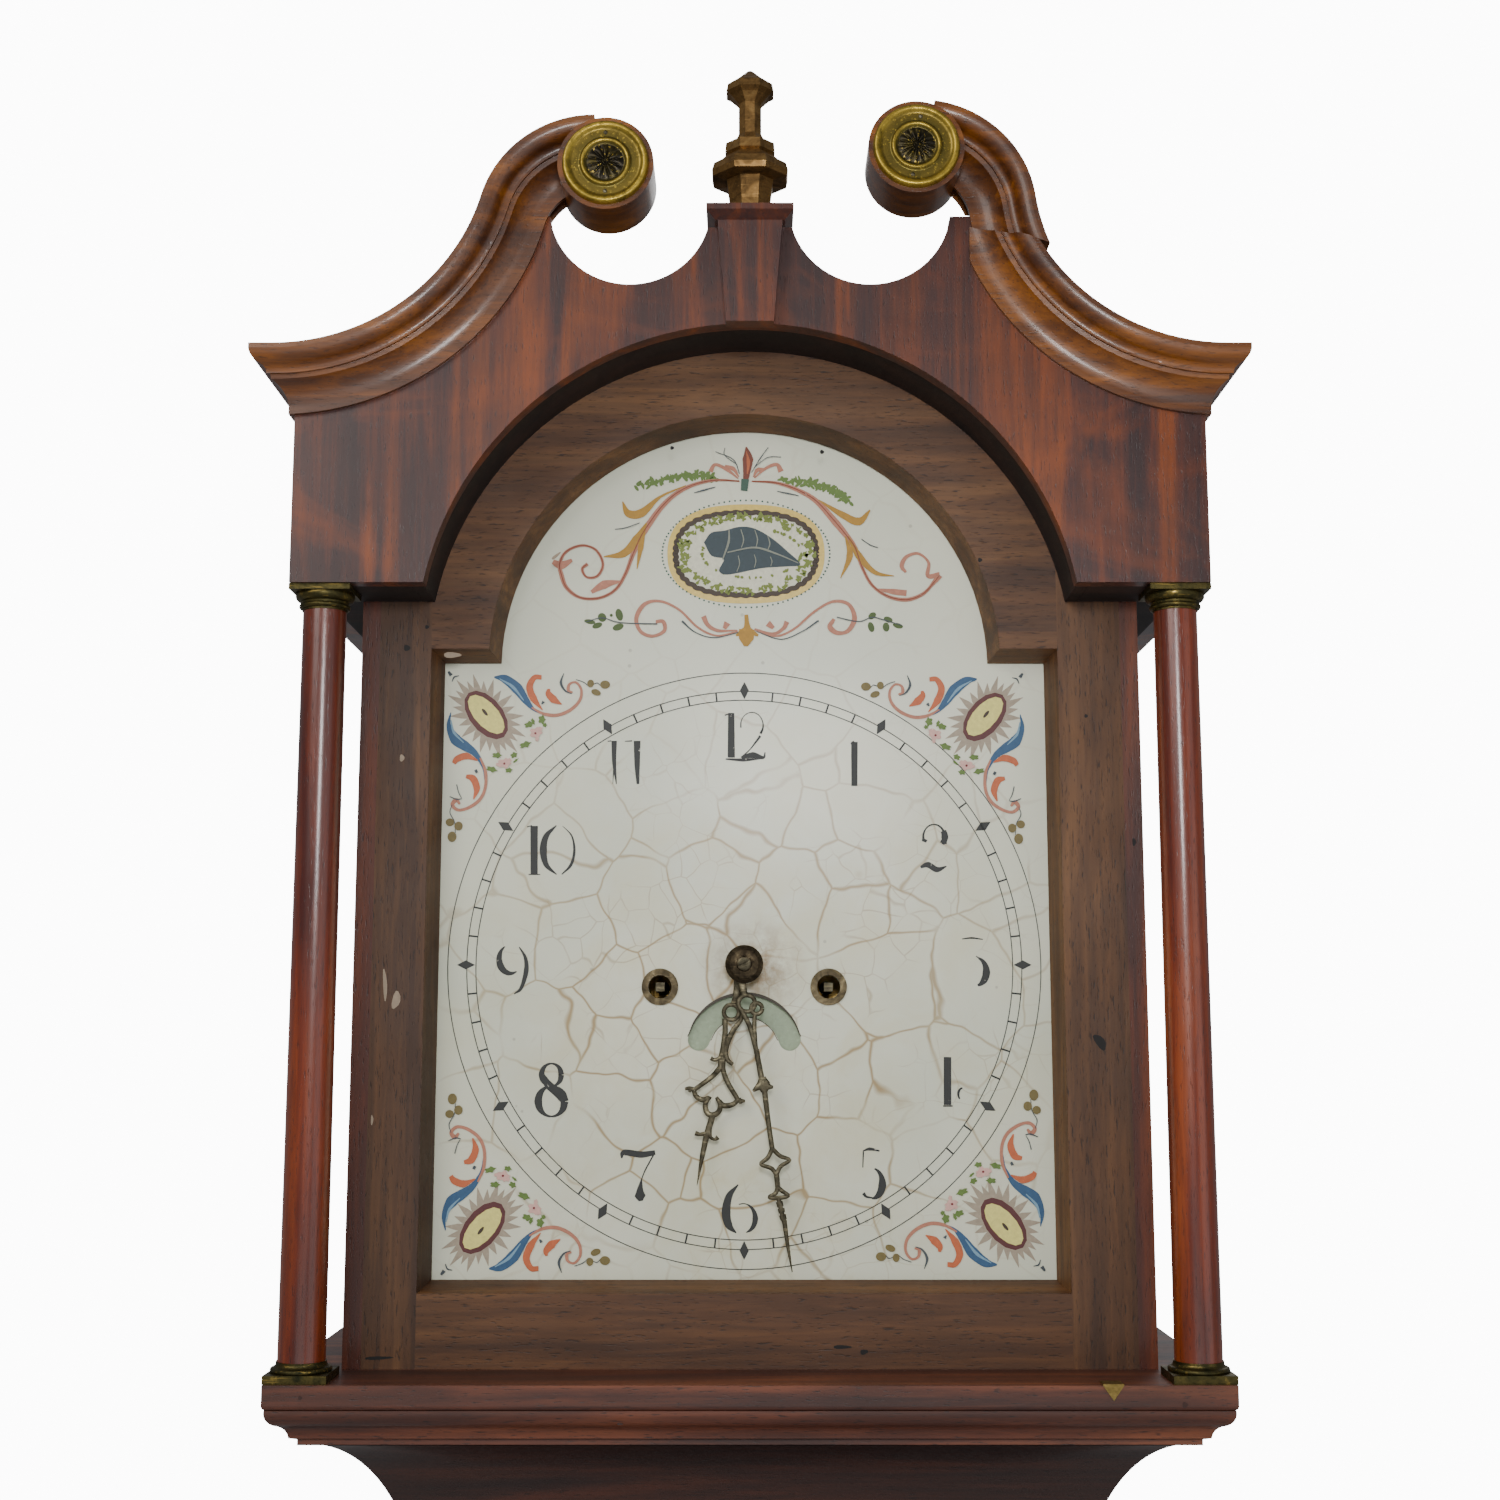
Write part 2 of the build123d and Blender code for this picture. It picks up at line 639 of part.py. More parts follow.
def neck_profile():
    """The moulding's section: X runs down from the top edge, Y stands out from the fascia."""
    top = neck_projection
    edge = Polyline((0, 0), (0, top), (2.6, top))
    edge += ThreePointArc((2.6, top), (6.6, top - 1.6), (9.0, top - 4.8))
    edge += ThreePointArc((9.0, top - 4.8), (10.6, top - 7.0), (13.4, top - 7.8))
    edge += Polyline((13.4, top - 7.8), (13.4, top - 9.4), (15.8, top - 9.8))
    edge += ThreePointArc((15.8, top - 9.8), (20.0, top - 14.6), (29.6, top - 17.4))
    edge += Polyline((29.6, top - 17.4), (neck_band, top - 17.4), (neck_band, 0), (0, 0))
    return make_face(edge)


def swing_neck(section):
    """Carry a section along the two arcs of the left neck."""
    low_centre = (-neck_start_x, horn_top_z + neck_lower_radius)
    join_x = low_centre[0] + neck_lower_radius * sin(radians(neck_turn))
    join_z = low_centre[1] - neck_lower_radius * cos(radians(neck_turn))
    high_centre = (join_x + neck_upper_radius * sin(radians(neck_turn)),
                   join_z - neck_upper_radius * cos(radians(neck_turn)))
    start = Plane(origin=(-neck_start_x, hood_front_y, horn_top_z), x_dir=(0, 0, -1), z_dir=(-1, 0, 0))
    crest = Plane(origin=(high_centre[0], hood_front_y, high_centre[1] + neck_upper_radius),
                  x_dir=(0, 0, -1), z_dir=(-1, 0, 0))
    low_axis = Axis((low_centre[0], 0, low_centre[1]), (0, -1, 0))
    high_axis = Axis((high_centre[0], 0, high_centre[1]), (0, -1, 0))
    swept = revolve(start * section, low_axis, revolution_arc=neck_turn)
    swept += revolve(crest * section, high_axis, revolution_arc=neck_turn)
    return swept, start


def make_left_neck():
    """The whole left swan neck, from its mitred horn to the block behind the rosette."""
    section = neck_profile()
    neck, start = swing_neck(section)
    horn = neck_projection + 12
    neck += extrude(start * section, amount=horn)
    plan = Polyline((-hood_half, hood_front_y), (-hood_half - horn, hood_front_y - horn),
                    (0, hood_front_y - horn), (0, hood_front_y), close=True)
    neck &= extrude(Pos(0, 0, frieze_bottom_z) * make_face(plan), amount=400)
    backing, start = swing_neck(Pos(neck_band / 2, -fascia_thickness / 2) * Rectangle(neck_band, fascia_thickness))
    backing &= slab(-hood_half, 0, fascia_back_y - 1, hood_front_y + 2 * fascia_thickness, fascia_step_z,
                    fascia_step_z + 200)
    neck += backing
    neck += disc(-scroll_x, scroll_z, fascia_back_y, fascia_thickness + scroll_depth, scroll_radius)
    return neck


def settle(piece):
    """Where the broken-off scroll and its rosette have come to rest."""
    return (Pos(*crack_shift) * Pos(crack_x, 0, crack_z) * Rot(0, crack_turn, 0)
            * Pos(-crack_x, 0, -crack_z) * piece)


def make_pediment():
    left = make_left_neck()
    whole = mirror(left, Plane.YZ)
    crack = Pos(crack_x, hood_front_y, crack_z) * Rot(0, crack_slope, 0)
    inward = slab(0, crack_x - 35, hood_front_y - 100, hood_front_y + 100, fascia_middle_z - 60, crack_z + 200)
    above = crack * Pos(0, 0, 150) * Box(500, 200, 300) + inward
    just_below = crack * Pos(0, 0, 144) * Box(500, 200, 300) + inward
    save("swan_neck_left", left)
    save("swan_neck_right", whole - above)
    save("swan_neck_right_scroll", settle(whole & just_below) & above)

    section = Pos(0, horn_top_z) * Rot(0, 0, -90) * neck_profile()
    front, right = mitred_moulding(section, hood_half, hood_front_y, wall_y, neck_projection + 1)
    save("cornice_returns", left_and_right(right))

    face = hood_front_y - scroll_depth
    rosette = Plane.XY * make_face(Polyline(
        (0, 0), (rosette_radius, 0), (rosette_radius, 1.6), (rosette_radius - 1.2, 3.0),
        (rosette_radius - 3.0, 3.0), (rosette_radius - 4.2, 1.6), (13.0, 1.6), (11.6, 3.2), (10.4, 2.0),
        (4.0, 2.6), (1.2, rosette_thickness), (0, rosette_thickness), close=True))
    brass = revolve(rosette, Axis.Y)
    stand = Rot(180, 0, 0) * brass
    left_brass = Pos(-scroll_x, face, scroll_z) * stand
    right_brass = settle(Pos(scroll_x, face, scroll_z) * stand)
    save("scroll_rosettes", left_brass, right_brass)

    front = hood_front_y - keystone_proud
    block = Polyline((-keystone_foot_width / 2, keystone_foot_z), (keystone_foot_width / 2, keystone_foot_z),
                     (keystone_top_width / 2, fascia_middle_z), (-keystone_top_width / 2, fascia_middle_z),
                     close=True)
    stone = upright(make_face(block), hood_front_y, keystone_proud)
    cap_front = front - 5
    cap_back = hood_front_y + 13.5
    cap_top = fascia_middle_z + keystone_cap_height
    half = keystone_cap_width / 2
    cap = slab(-half, half, cap_front, cap_back, cap_top - 3.2, cap_top)
    upper = Pos(0, (cap_front + cap_back) / 2, cap_top - 3.2) * Rectangle(2 * half, cap_back - cap_front)
    lower = Pos(0, (front + cap_back) / 2, fascia_middle_z) * Rectangle(2 * half - 9, cap_back - front - 1)
    cap += loft([lower, upper])
    save("keystone", stone, cap)

    widths = ((0, 11.4), (5, 11.2), (17, 13.0), (18, 20.6), (21, 21.4), (25, 20.2), (28, 15.6), (31, 12.6),
              (32, 14.0), (37, 13.6), (39, 8.4), (43, 6.4), (60, 6.4), (64, 10.4), (66, 13.4), (70, 12.6),
              (75, 6.0), (finial_height, 1.6))
    rings = [Pos(0, hood_front_y, cap_top + height) * RegularPolygon(radius, 8, rotation=22.5)
             for height, radius in widths]
    save("finial", loft(rings, ruled=True))


# Dial and hands

def make_dial():
    face = at_dial(0, 0) * Rectangle(dial_width, dial_width)
    face += Pos(dial_centre_x, arch_centre_z) * Circle(dial_arch_radius)
    face -= at_dial(0, 0) * Circle(pipe_radius + 1.5)
    for side in (-1, 1):
        face -= at_dial(side * barrel_x, -winding_drop) * Circle(winding_hole_radius)
    middle_radius = (date_slot_outer + date_slot_inner) / 2
    slot_width = date_slot_outer - date_slot_inner
    sweep_angle = 2 * date_slot_half_angle
    arc = CenterArc((0, 0), middle_radius, 90 - date_slot_half_angle, sweep_angle)
    slot = trace(arc, slot_width)
    for end in (arc @ 0, arc @ 1):
        slot += Pos(end.X, end.Y) * Circle(slot_width / 2)
    face -= at_dial(0, -date_arc_drop) * slot
    save("dial", upright(face, dial_front_y + dial_thickness, dial_thickness))

    rings = []
    for side in (-1, 1):
        ring = at_dial(side * barrel_x, -winding_drop) * (Circle(winding_ring_radius) - Circle(winding_hole_radius))
        rings.append(upright(ring, dial_front_y, 0.9))
    save("winding_hole_rings", rings)

    plate = at_dial(0, -date_arc_drop) * (Circle(date_slot_outer + 2.5) - Circle(date_stud_radius + shaft_clearance))
    save("date_disc", upright(plate, dial_front_y + dial_thickness + 2.0, 1.0))


def strip(points, width):
    """A narrow bar of the hand along straight runs."""
    return trace(Polyline(*points), width)


def open_ring(x, z, outer, bar):
    """A small pierced ring of the hand."""
    return Pos(x, z) * (Circle(outer) - Circle(outer - bar))


def mirrored_strips(points, width):
    """The same bar on both sides of the hand's middle line."""
    return strip(points, width) + strip([(-x, z) for x, z in points], width)


def hour_hand_outline():
    """The pierced hour hand, pointing up from its own centre."""
    hand = Circle(8.6) + strip([(0, 7), (0, 20.5)], 3.0)
    hand += open_ring(0, 24.8, 4.6, 1.3)
    hand += mirrored_strips([(1.6, 28.6), (3.4, 34.5), (0.5, 43.5), (0, 50.0)], 1.6)
    for side in (-1, 1):
        hand += strip([(0, 46.0), (side * 4.2, 47.6), (side * 5.8, 50.2)], 1.1)
        hand += Pos(side * 6.0, 51.0) * Circle(1.3)
        hand += strip([(0, 48.5), (side * 4.0, 56.5), (side * 11.2, 67.0)], 1.5)
        hand += strip([(side * 9.4, 66.0), (side * 14.6, 67.8)], 1.1)
        hand += strip([(side * 12.4, 69.8), (side * 12.2, 65.6)], 1.1)
        hand += strip([(side * 11.2, 67.0), (side * 8.2, 71.4), (side * 4.2, 71.6), (side * 2.2, 68.6)], 1.4)
    hand += open_ring(0, 73.4, 5.2, 1.4)
    hand += strip([(0, 77.8), (0, 88.0)], 3.2)
    for side in (-1, 1):
        hand += strip([(0, 86.2), (side * 3.6, 87.6), (side * 5.4, 89.6)], 1.1)
        hand += Pos(side * 5.8, 90.2) * Circle(1.2)
    hand += make_face(Polyline((-1.7, 87), (0, 115), (1.7, 87), close=True))
    return hand - Circle(pipe_radius)


def minute_hand_outline():
    """The pierced minute hand, pointing up from its own centre."""
    hand = Circle(8.2) + strip([(0, 7), (0, 19.0)], 2.6)
    hand += open_ring(-2.6, 21.4, 4.4, 1.2) + open_ring(2.8, 23.4, 3.8, 1.1)
    hand += mirrored_strips([(4.0, 25.6), (2.8, 30.4), (0.4, 36.4)], 1.4)
    hand += strip([(0, 34.8), (0, 96.0)], 1.9)
    hand += make_face(Polyline((-6.4, 64.2), (-1.6, 61.6), (-0.8, 55.4), (0.8, 55.4), (1.6, 61.6), (6.4, 64.2),
                               (0, 66.4), close=True))
    diamond = [(0, 94.0), (-2.8, 99.0), (-7.8, 101.8), (-2.8, 104.8), (0, 110.4)]
    hand += mirrored_strips(diamond, 1.3)
    hand += strip([(0, 109.0), (0, 115.8)], 1.9)
    kite = [(0, 114.0), (-1.8, 118.4), (-5.4, 121.0), (0, 122.4)]
    hand += mirrored_strips(kite, 1.2)
    hand += strip([(0, 121.8), (0, 136.0)], 1.5)
    for height in (126.0, 129.2, 132.4):
        hand += Pos(0, height) * Circle(1.5)
    hand += make_face(Polyline((-0.75, 134), (0, 157.3), (0.75, 134), close=True))
    return hand - Circle(cannon_radius)


def make_hands():
    hour = at_dial(0, 0) * Rot(0, 0, -hour_rest_angle) * hour_hand_outline()
    save("hour_hand", upright(hour, hour_hand_y, hand_thickness))
    minute = at_dial(0, 0) * Rot(0, 0, -minute_rest_angle) * minute_hand_outline()
    save("minute_hand", upright(minute, minute_hand_y, hand_thickness))


# Movement

def pinion(x, z, back_y, length, leaves, module, phase):
    """A steel pinion cut solid with its arbor."""
    return upright(at_dial(x, z) * pinion_outline(leaves, module, phase), back_y, length)


def make_frame():
    face = at_dial(0, (plate_rise - plate_drop) / 2) * Rectangle(2 * plate_half, plate_rise + plate_drop)
    bores = [(0, 0, arbor_radius), (*third_arbor, arbor_radius), (0, escape_arbor_z, arbor_radius),
             (0, pallet_arbor_z, arbor_radius), (hammer_x, hammer_z, arbor_radius)]
    for side in (-1, 1):
        bores.append((side * barrel_x, -winding_drop, barrel_arbor_radius))
    for x, z, radius in bores:
        face -= at_dial(x, z) * Circle(radius + shaft_clearance)
    minute_bore = at_dial(*minute_arbor()) * Circle(minute_arbor_radius + shaft_clearance)
    front = upright(face - minute_bore, front_plate_y, plate_thickness)
    back = upright(face, back_plate_y + plate_thickness, plate_thickness)
    save("movement_plates", front, back)

    pillars = []
    for x, z in ((pillar_x, plate_rise - 5), (-pillar_x, plate_rise - 5), (pillar_x, 5 - plate_drop),
                 (-pillar_x, 5 - plate_drop)):
        pillars.append(rod(x, z, back_plate_y, front_plate_y, pillar_radius))
    for x, z in ((dial_foot_x, 60), (-dial_foot_x, 60), (dial_foot_x, -50), (-dial_foot_x, -50)):
        pillars.append(rod(x, z, front_plate_y - plate_thickness, dial_front_y + dial_thickness, 3.0))
    pillars.append(rod(0, -date_arc_drop, dial_front_y + dial_thickness + 4, dial_front_y + dial_thickness,
                       date_stud_radius))
    save("movement_pillars", pillars)


def minute_arbor():
    """Where the minute wheel turns, from the dial centre."""
    return (motion_distance * cos(radians(minute_arbor_angle)), motion_distance * sin(radians(minute_arbor_angle)))


def make_going_train():
    back_end = back_plate_y + plate_thickness - 1
    front_end = front_plate_y - plate_thickness + 0.5
    barrel_place = (barrel_x, -winding_drop)
    great_to_centre = direction(barrel_place, (0, 0))
    centre_to_great = great_to_centre + 180
    centre_to_third = direction((0, 0), third_arbor)
    third_to_centre = centre_to_third + 180
    third_to_escape = direction(third_arbor, (0, escape_arbor_z))
    escape_to_third = third_to_escape + 180
    minute_place = minute_arbor()
    centre_to_minute = direction((0, 0), minute_place)
    minute_to_centre = centre_to_minute + 180

    great = wheel(*barrel_place, great_wheel_y, great_teeth, great_module, great_to_centre,
                  barrel_arbor_radius + shaft_clearance)
    save("going_great_wheel", great)
    other_place = (-barrel_x, -winding_drop)
    other_module = great_module * great_teeth / (strike_teeth + 3)
    other = wheel(*other_place, great_wheel_y, strike_teeth, other_module, 0, barrel_arbor_radius + shaft_clearance)
    save("strike_great_wheel", other)

    cannon_front = minute_hand_y - hand_thickness
    cannon_back = front_plate_y - plate_thickness - 0.3
    centre = rod(0, 0, back_end, cannon_back, arbor_radius)
    centre += rod(0, 0, cannon_back, cannon_front, cannon_radius)
    centre += pinion(0, 0, great_wheel_y + 3, 8, centre_pinion_leaves, great_module, centre_to_great)
    centre += wheel(0, 0, centre_wheel_y, centre_teeth, centre_module, centre_to_third)
    cannon_wheel = at_dial(0, 0) * gear_outline(motion_teeth, motion_module, centre_to_minute)
    centre += upright(cannon_wheel, motion_wheel_y, wheel_thickness)
    collet = Plane.XY * make_face(Polyline((0, 0), (9.9, 0), (9.9, 0.8), (7.4, 2.4), (4.6, 2.8), (4.6, 2.2),
                                           (4.0, 2.2), (3.6, 3.4), (0, 3.8), close=True))
    collet = Pos(dial_centre_x, cannon_front, dial_centre_z) * Rot(180, 0, 0) * revolve(collet, Axis.Y)
    save("centre_arbor", centre, collet)

    pipe = at_dial(0, 0) * (Circle(pipe_radius) - Circle(cannon_radius + shaft_clearance))
    hour = upright(pipe, hour_wheel_y + 5, hour_wheel_y + 5 - hour_hand_y + hand_thickness)
    face = gear_outline(hour_teeth, hour_module, centre_to_minute)
    face -= crossings(hour_teeth * hour_module * 0.42, 6.5, 3.0)
    face -= Circle(cannon_radius + shaft_clearance)
    hour += upright(at_dial(0, 0) * face, hour_wheel_y, wheel_thickness)
    save("hour_wheel", hour)

    minute = rod(*minute_place, front_plate_y - 0.5, hour_wheel_y - 4, minute_arbor_radius)
    face = at_dial(*minute_place) * gear_outline(motion_teeth, motion_module, minute_to_centre + 180 / motion_teeth)
    minute += upright(face, motion_wheel_y, wheel_thickness)
    minute += pinion(*minute_place, motion_wheel_y - wheel_thickness, 8.6, motion_pinion_leaves, hour_module,
                     minute_to_centre)
    save("minute_wheel", minute)

    third = rod(*third_arbor, back_end, front_end, arbor_radius)
    third += pinion(*third_arbor, centre_wheel_y + 3, 8, third_pinion_leaves, centre_module, third_to_centre)
    third += wheel(*third_arbor, third_wheel_y, third_teeth, third_module, third_to_escape)
    save("third_wheel", third)

    escape = rod(0, escape_arbor_z, back_end, front_end, arbor_radius - 0.1)
    escape += pinion(0, escape_arbor_z, third_wheel_y + 3, 8, escape_pinion_leaves, third_module, escape_to_third)
    points = []
    pitch = 360 / escape_teeth
    for tooth in range(escape_teeth):
        for radius, turn in ((escape_radius - 4.5, 0.1), (escape_radius, 0.0), (escape_radius - 4.5, 0.75)):
            angle = radians(90 + (tooth + turn) * pitch)
            points.append((radius * cos(angle), radius * sin(angle)))
    face = make_face(Polyline(*points, close=True)) - crossings(escape_radius - 7, 5, 2.2)
    escape += upright(at_dial(0, escape_arbor_z) * face, escape_wheel_y, wheel_thickness)
    save("escape_wheel", escape)

    anchor_face = make_face(Polyline((0, 5), (7, 3.5), (18.5, -6), (19.4, -12.4), (15.9, -13.0), (14.6, -7.6),
                                     (5, -2.8), (0, -4), (-5, -2.8), (-14.6, -7.6), (-15.9, -13.0),
                                     (-19.4, -12.4), (-18.5, -6), (-7, 3.5), close=True))
    anchor = upright(at_dial(0, pallet_arbor_z) * anchor_face, escape_wheel_y + 1, wheel_thickness + 2)
    anchor += rod(0, pallet_arbor_z, crutch_y + 4, front_end, arbor_radius)
    foot_z = suspension_z - crutch_length
    anchor += slab(dial_centre_x - 1.5, dial_centre_x + 1.5, crutch_y, crutch_y + 2, foot_z, suspension_z + 3)
    prong = rod_radius + line_clearance
    fork = slab(dial_centre_x - prong - 1.8, dial_centre_x + prong + 1.8, crutch_y, pendulum_y + 3,
                foot_z - 3, foot_z + 1)
    fork -= slab(dial_centre_x - prong, dial_centre_x + prong, crutch_y + 2, pendulum_y + 4, foot_z - 4, foot_z + 2)
    anchor += fork
    save("anchor_and_crutch", anchor)


def make_cocks_and_bell():
    plate_back = back_plate_y + plate_thickness
    cock_low = pallet_arbor_z - 12
    cock_high = pallet_arbor_z + 14
    cock_y = crutch_y + 4
    bridge = Pos(0, (cock_low + cock_high) / 2) * Rectangle(56, cock_high - cock_low)
    bridge -= Pos(0, pallet_arbor_z) * Circle(arbor_radius + shaft_clearance)
    cock = upright(at_dial(0, 0) * bridge, cock_y + 4, 4)
    for side in (-1, 1):
        foot_x = dial_centre_x + side * 23
        cock += slab(foot_x - 5, foot_x + 5, plate_back, cock_y, dial_centre_z + cock_low, dial_centre_z + cock_high)
    top_z = dial_centre_z + cock_high
    cock += slab(dial_centre_x - 9, dial_centre_x + 9, cock_y + 4, pendulum_y + 6, top_z - 9, top_z)
    cock -= slab(dial_centre_x - spring_slot, dial_centre_x + spring_slot, pendulum_y - 5, pendulum_y + 7,
                 top_z - 10, top_z + 1)
    chop = slab(dial_centre_x - 7, dial_centre_x + 7, pendulum_y - 4, pendulum_y + 4, top_z, top_z + 5)
    chop += slab(dial_centre_x - 0.2, dial_centre_x + 0.2, pendulum_y - 4, pendulum_y + 4,
                 suspension_z + line_clearance, top_z)

    stand_x = dial_centre_x + 40
    arm_z = bell_z - 10
    stand = slab(stand_x - 4, stand_x + 4, plate_back, plate_back + 3, dial_centre_z + 55, arm_z + 3)
    stand += slab(stand_x - 4, stand_x + 4, -3, plate_back + 3, arm_z, arm_z + 3)
    stand += slab(dial_centre_x - 4, stand_x + 4, -3, 3, arm_z, arm_z + 3)
    crown = bell_z + bell_height
    pin = Pos(dial_centre_x, 0, (arm_z + crown + 6) / 2) * Cylinder(2.0, crown + 6 - arm_z)
    collar = Pos(dial_centre_x, 0, (arm_z + crown - bell_wall) / 2) * Cylinder(4.0, crown - bell_wall - arm_z)
    nut = Pos(dial_centre_x, 0, crown + 2) * Cylinder(5.0, 4)
    save("movement_cocks", cock, chop, stand + pin + collar + nut)

    wall = bell_wall
    outer = [(bell_radius, 0), (bell_radius - 1.5, 8), (bell_radius - 8, 18), (bell_radius - 22, 27),
             (bell_radius - 34, bell_height)]
    inner = [(radius - wall, max(height - wall, 0)) for radius, height in reversed(outer)]
    profile = [(2.1, bell_height)] + list(reversed(outer)) + list(reversed(inner)) + [(2.1, bell_height - wall)]
    bell = Pos(0, 0, bell_z) * turned(profile, dial_centre_x, 0)
    save("bell", bell)

    arbor = rod(hammer_x, hammer_z, back_plate_y + plate_thickness - 1, front_plate_y - plate_thickness + 0.5,
                arbor_radius)
    head_z = bell_z - dial_centre_z + 5
    head_x = -bell_radius - 3.5
    arm = Polyline((hammer_x, hammer_z), (hammer_x - 4, hammer_z + 28), (head_x - 6, head_z))
    hammer = arbor + upright(at_dial(0, 0) * trace(arm, 3.0), 1.5, 3.0)
    head = Pos(dial_centre_x + head_x - 6.5, 0, dial_centre_z + head_z) * Rot(0, 90, 0) * Cylinder(6.0, 13)
    hammer += head
    save("hammer", hammer)


def make_pendulum():
    low = bob_z - bob_radius - 26
    rod_top = suspension_z - 24
    long_rod = Pos(dial_centre_x, pendulum_y, (low + rod_top) / 2) * Cylinder(rod_radius, rod_top - low)
    spring = slab(dial_centre_x - 0.2, dial_centre_x + 0.2, pendulum_y - 4, pendulum_y + 4, rod_top, suspension_z)
    nut_top = bob_z - bob_radius
    nut = Pos(dial_centre_x, pendulum_y, nut_top - 3) * Cylinder(8.0, 6)
    save("pendulum_rod", spring, long_rod + nut)

    half = bob_thickness / 2
    profile = Polyline((0, -half), (0, half))
    profile += ThreePointArc((0, half), (bob_radius * 0.55, half * 0.76), (bob_radius, 1.2))
    profile += Line((bob_radius, 1.2), (bob_radius, -1.2))
    profile += ThreePointArc((bob_radius, -1.2), (bob_radius * 0.55, -half * 0.76), (0, -half))
    bob = Pos(dial_centre_x, pendulum_y, bob_z) * revolve(make_face(profile), Axis.Y)
    bob -= Pos(dial_centre_x, pendulum_y, bob_z) * Cylinder(rod_radius + shaft_clearance / 4, 2 * bob_radius + 4)
    save("pendulum_bob", bob)


def make_barrels():
    for name, side in (("going_barrel", 1), ("strike_barrel", -1)):
        place = (side * barrel_x, -winding_drop)
        drum = rod(*place, barrel_back_y, barrel_front_y, barrel_radius)
        drum += rod(*place, barrel_back_y + 1.2, barrel_back_y, barrel_radius + 2.5)
        drum += rod(*place, barrel_front_y, barrel_front_y - 1.2, barrel_radius + 2.5)
        square_back = front_plate_y - plate_thickness - 2
        drum += rod(*place, back_plate_y + plate_thickness - 1, square_back, barrel_arbor_radius)
        square = at_dial(*place) * Rectangle(winding_square, winding_square)
        drum += upright(square, square_back, square_back - dial_front_y - 2)
        save(name, drum)


def make_weights():
    tip = pulley_radius + 1.8
    for name, line_x, lift in zip(("going", "strike"), line_places(), (0.0, strike_weight_lift)):
        x = line_x + pulley_radius
        low = weight_bottom_z + lift
        high = low + weight_height
        axle_z = high + stirrup_rise + tip
        edge = 4.0
        body = turned([(0, low), (weight_radius - edge, low), (weight_radius, low + edge),
                       (weight_radius, high - edge), (weight_radius - edge, high), (0, high)], x)
        stem = Pos(x, 0, high + (stirrup_rise - 8) / 2) * Cylinder(3.0, stirrup_rise - 8)
        yoke = slab(x - 6, x + 6, -stirrup_half - 2, stirrup_half + 2, high + stirrup_rise - 8,
                    high + stirrup_rise - 5)
        body += stem + yoke
        for sign in (-1, 1):
            cheek_y = sign * (stirrup_half + 1)
            body += slab(x - 5, x + 5, cheek_y - 1, cheek_y + 1, high + stirrup_rise - 8, axle_z + 6)
        body += Pos(x, 0, axle_z) * Rot(90, 0, 0) * Cylinder(axle_radius, 2 * stirrup_half + 2)
        save(f"{name}_weight", body)

        groove = pulley_radius - line_radius - line_clearance
        half = stirrup_half - 0.4
        bore = axle_radius + shaft_clearance
        sheave = Polyline((bore, -half), (tip, -half), (tip, -half + 1), (groove, -1.2), (groove, 1.2),
                          (tip, half - 1), (tip, half), (bore, half), close=True)
        save(f"{name}_pulley", Pos(x, 0, axle_z) * revolve(make_face(sheave), Axis.Y))

        top_z = dial_centre_z - winding_drop
        path = Polyline((line_x, top_z), (line_x, axle_z))
        path += CenterArc((x, axle_z), pulley_radius, 180, 180)
        path += Line((x + pulley_radius, axle_z), (x + pulley_radius, cheek_top_z))
        path = front_plane(0) * path
        cord = sweep(Plane(origin=(line_x, 0, top_z), z_dir=(0, 0, -1)) * Circle(line_radius), path)
        save(f"{name}_line", cord)


def main():
    make_case()
    make_seat_board()
    make_door()
    make_hood_base()
    make_mask()
    make_columns()
    make_frieze()
    make_pediment()
    make_dial()
    make_hands()
    make_frame()
    make_going_train()
    make_cocks_and_bell()
    make_pendulum()
    make_barrels()
    make_weights()


main()
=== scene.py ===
"""Dresses the longcase clock: materials, painted dial, pierced hands, rosettes, lines and a plain stage."""

from math import cos, pi, radians, sin

import bpy
import numpy as np
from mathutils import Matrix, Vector


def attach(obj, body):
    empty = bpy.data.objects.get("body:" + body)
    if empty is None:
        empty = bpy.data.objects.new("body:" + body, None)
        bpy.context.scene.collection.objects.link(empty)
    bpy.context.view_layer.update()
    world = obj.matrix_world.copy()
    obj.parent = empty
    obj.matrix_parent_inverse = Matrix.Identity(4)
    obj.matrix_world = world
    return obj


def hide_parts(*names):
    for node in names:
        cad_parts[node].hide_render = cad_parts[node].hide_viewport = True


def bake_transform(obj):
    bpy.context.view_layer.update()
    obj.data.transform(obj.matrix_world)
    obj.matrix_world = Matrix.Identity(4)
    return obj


bl_info = {
    "name": "Longcase clock",
    "version": (1, 0, 0),
    "blender": (4, 5, 0),
    "location": "3D View > Sidebar > Clock",
    "description": "Finishes, painted dial, hands and stage of a longcase clock",
    "category": "Object",
}

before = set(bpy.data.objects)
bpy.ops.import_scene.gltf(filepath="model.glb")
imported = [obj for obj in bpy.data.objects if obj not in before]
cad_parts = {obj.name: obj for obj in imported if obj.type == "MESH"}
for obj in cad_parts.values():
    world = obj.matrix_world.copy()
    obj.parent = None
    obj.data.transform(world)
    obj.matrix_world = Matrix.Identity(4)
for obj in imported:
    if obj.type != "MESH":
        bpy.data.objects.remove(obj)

# Camera, in metres and degrees
EYE = np.array((0.0, -1.1135, 1.773))
TILT = radians(8.22)
PICTURE = 1500.0
FOCAL = 1966.0
SENSOR = 36.0

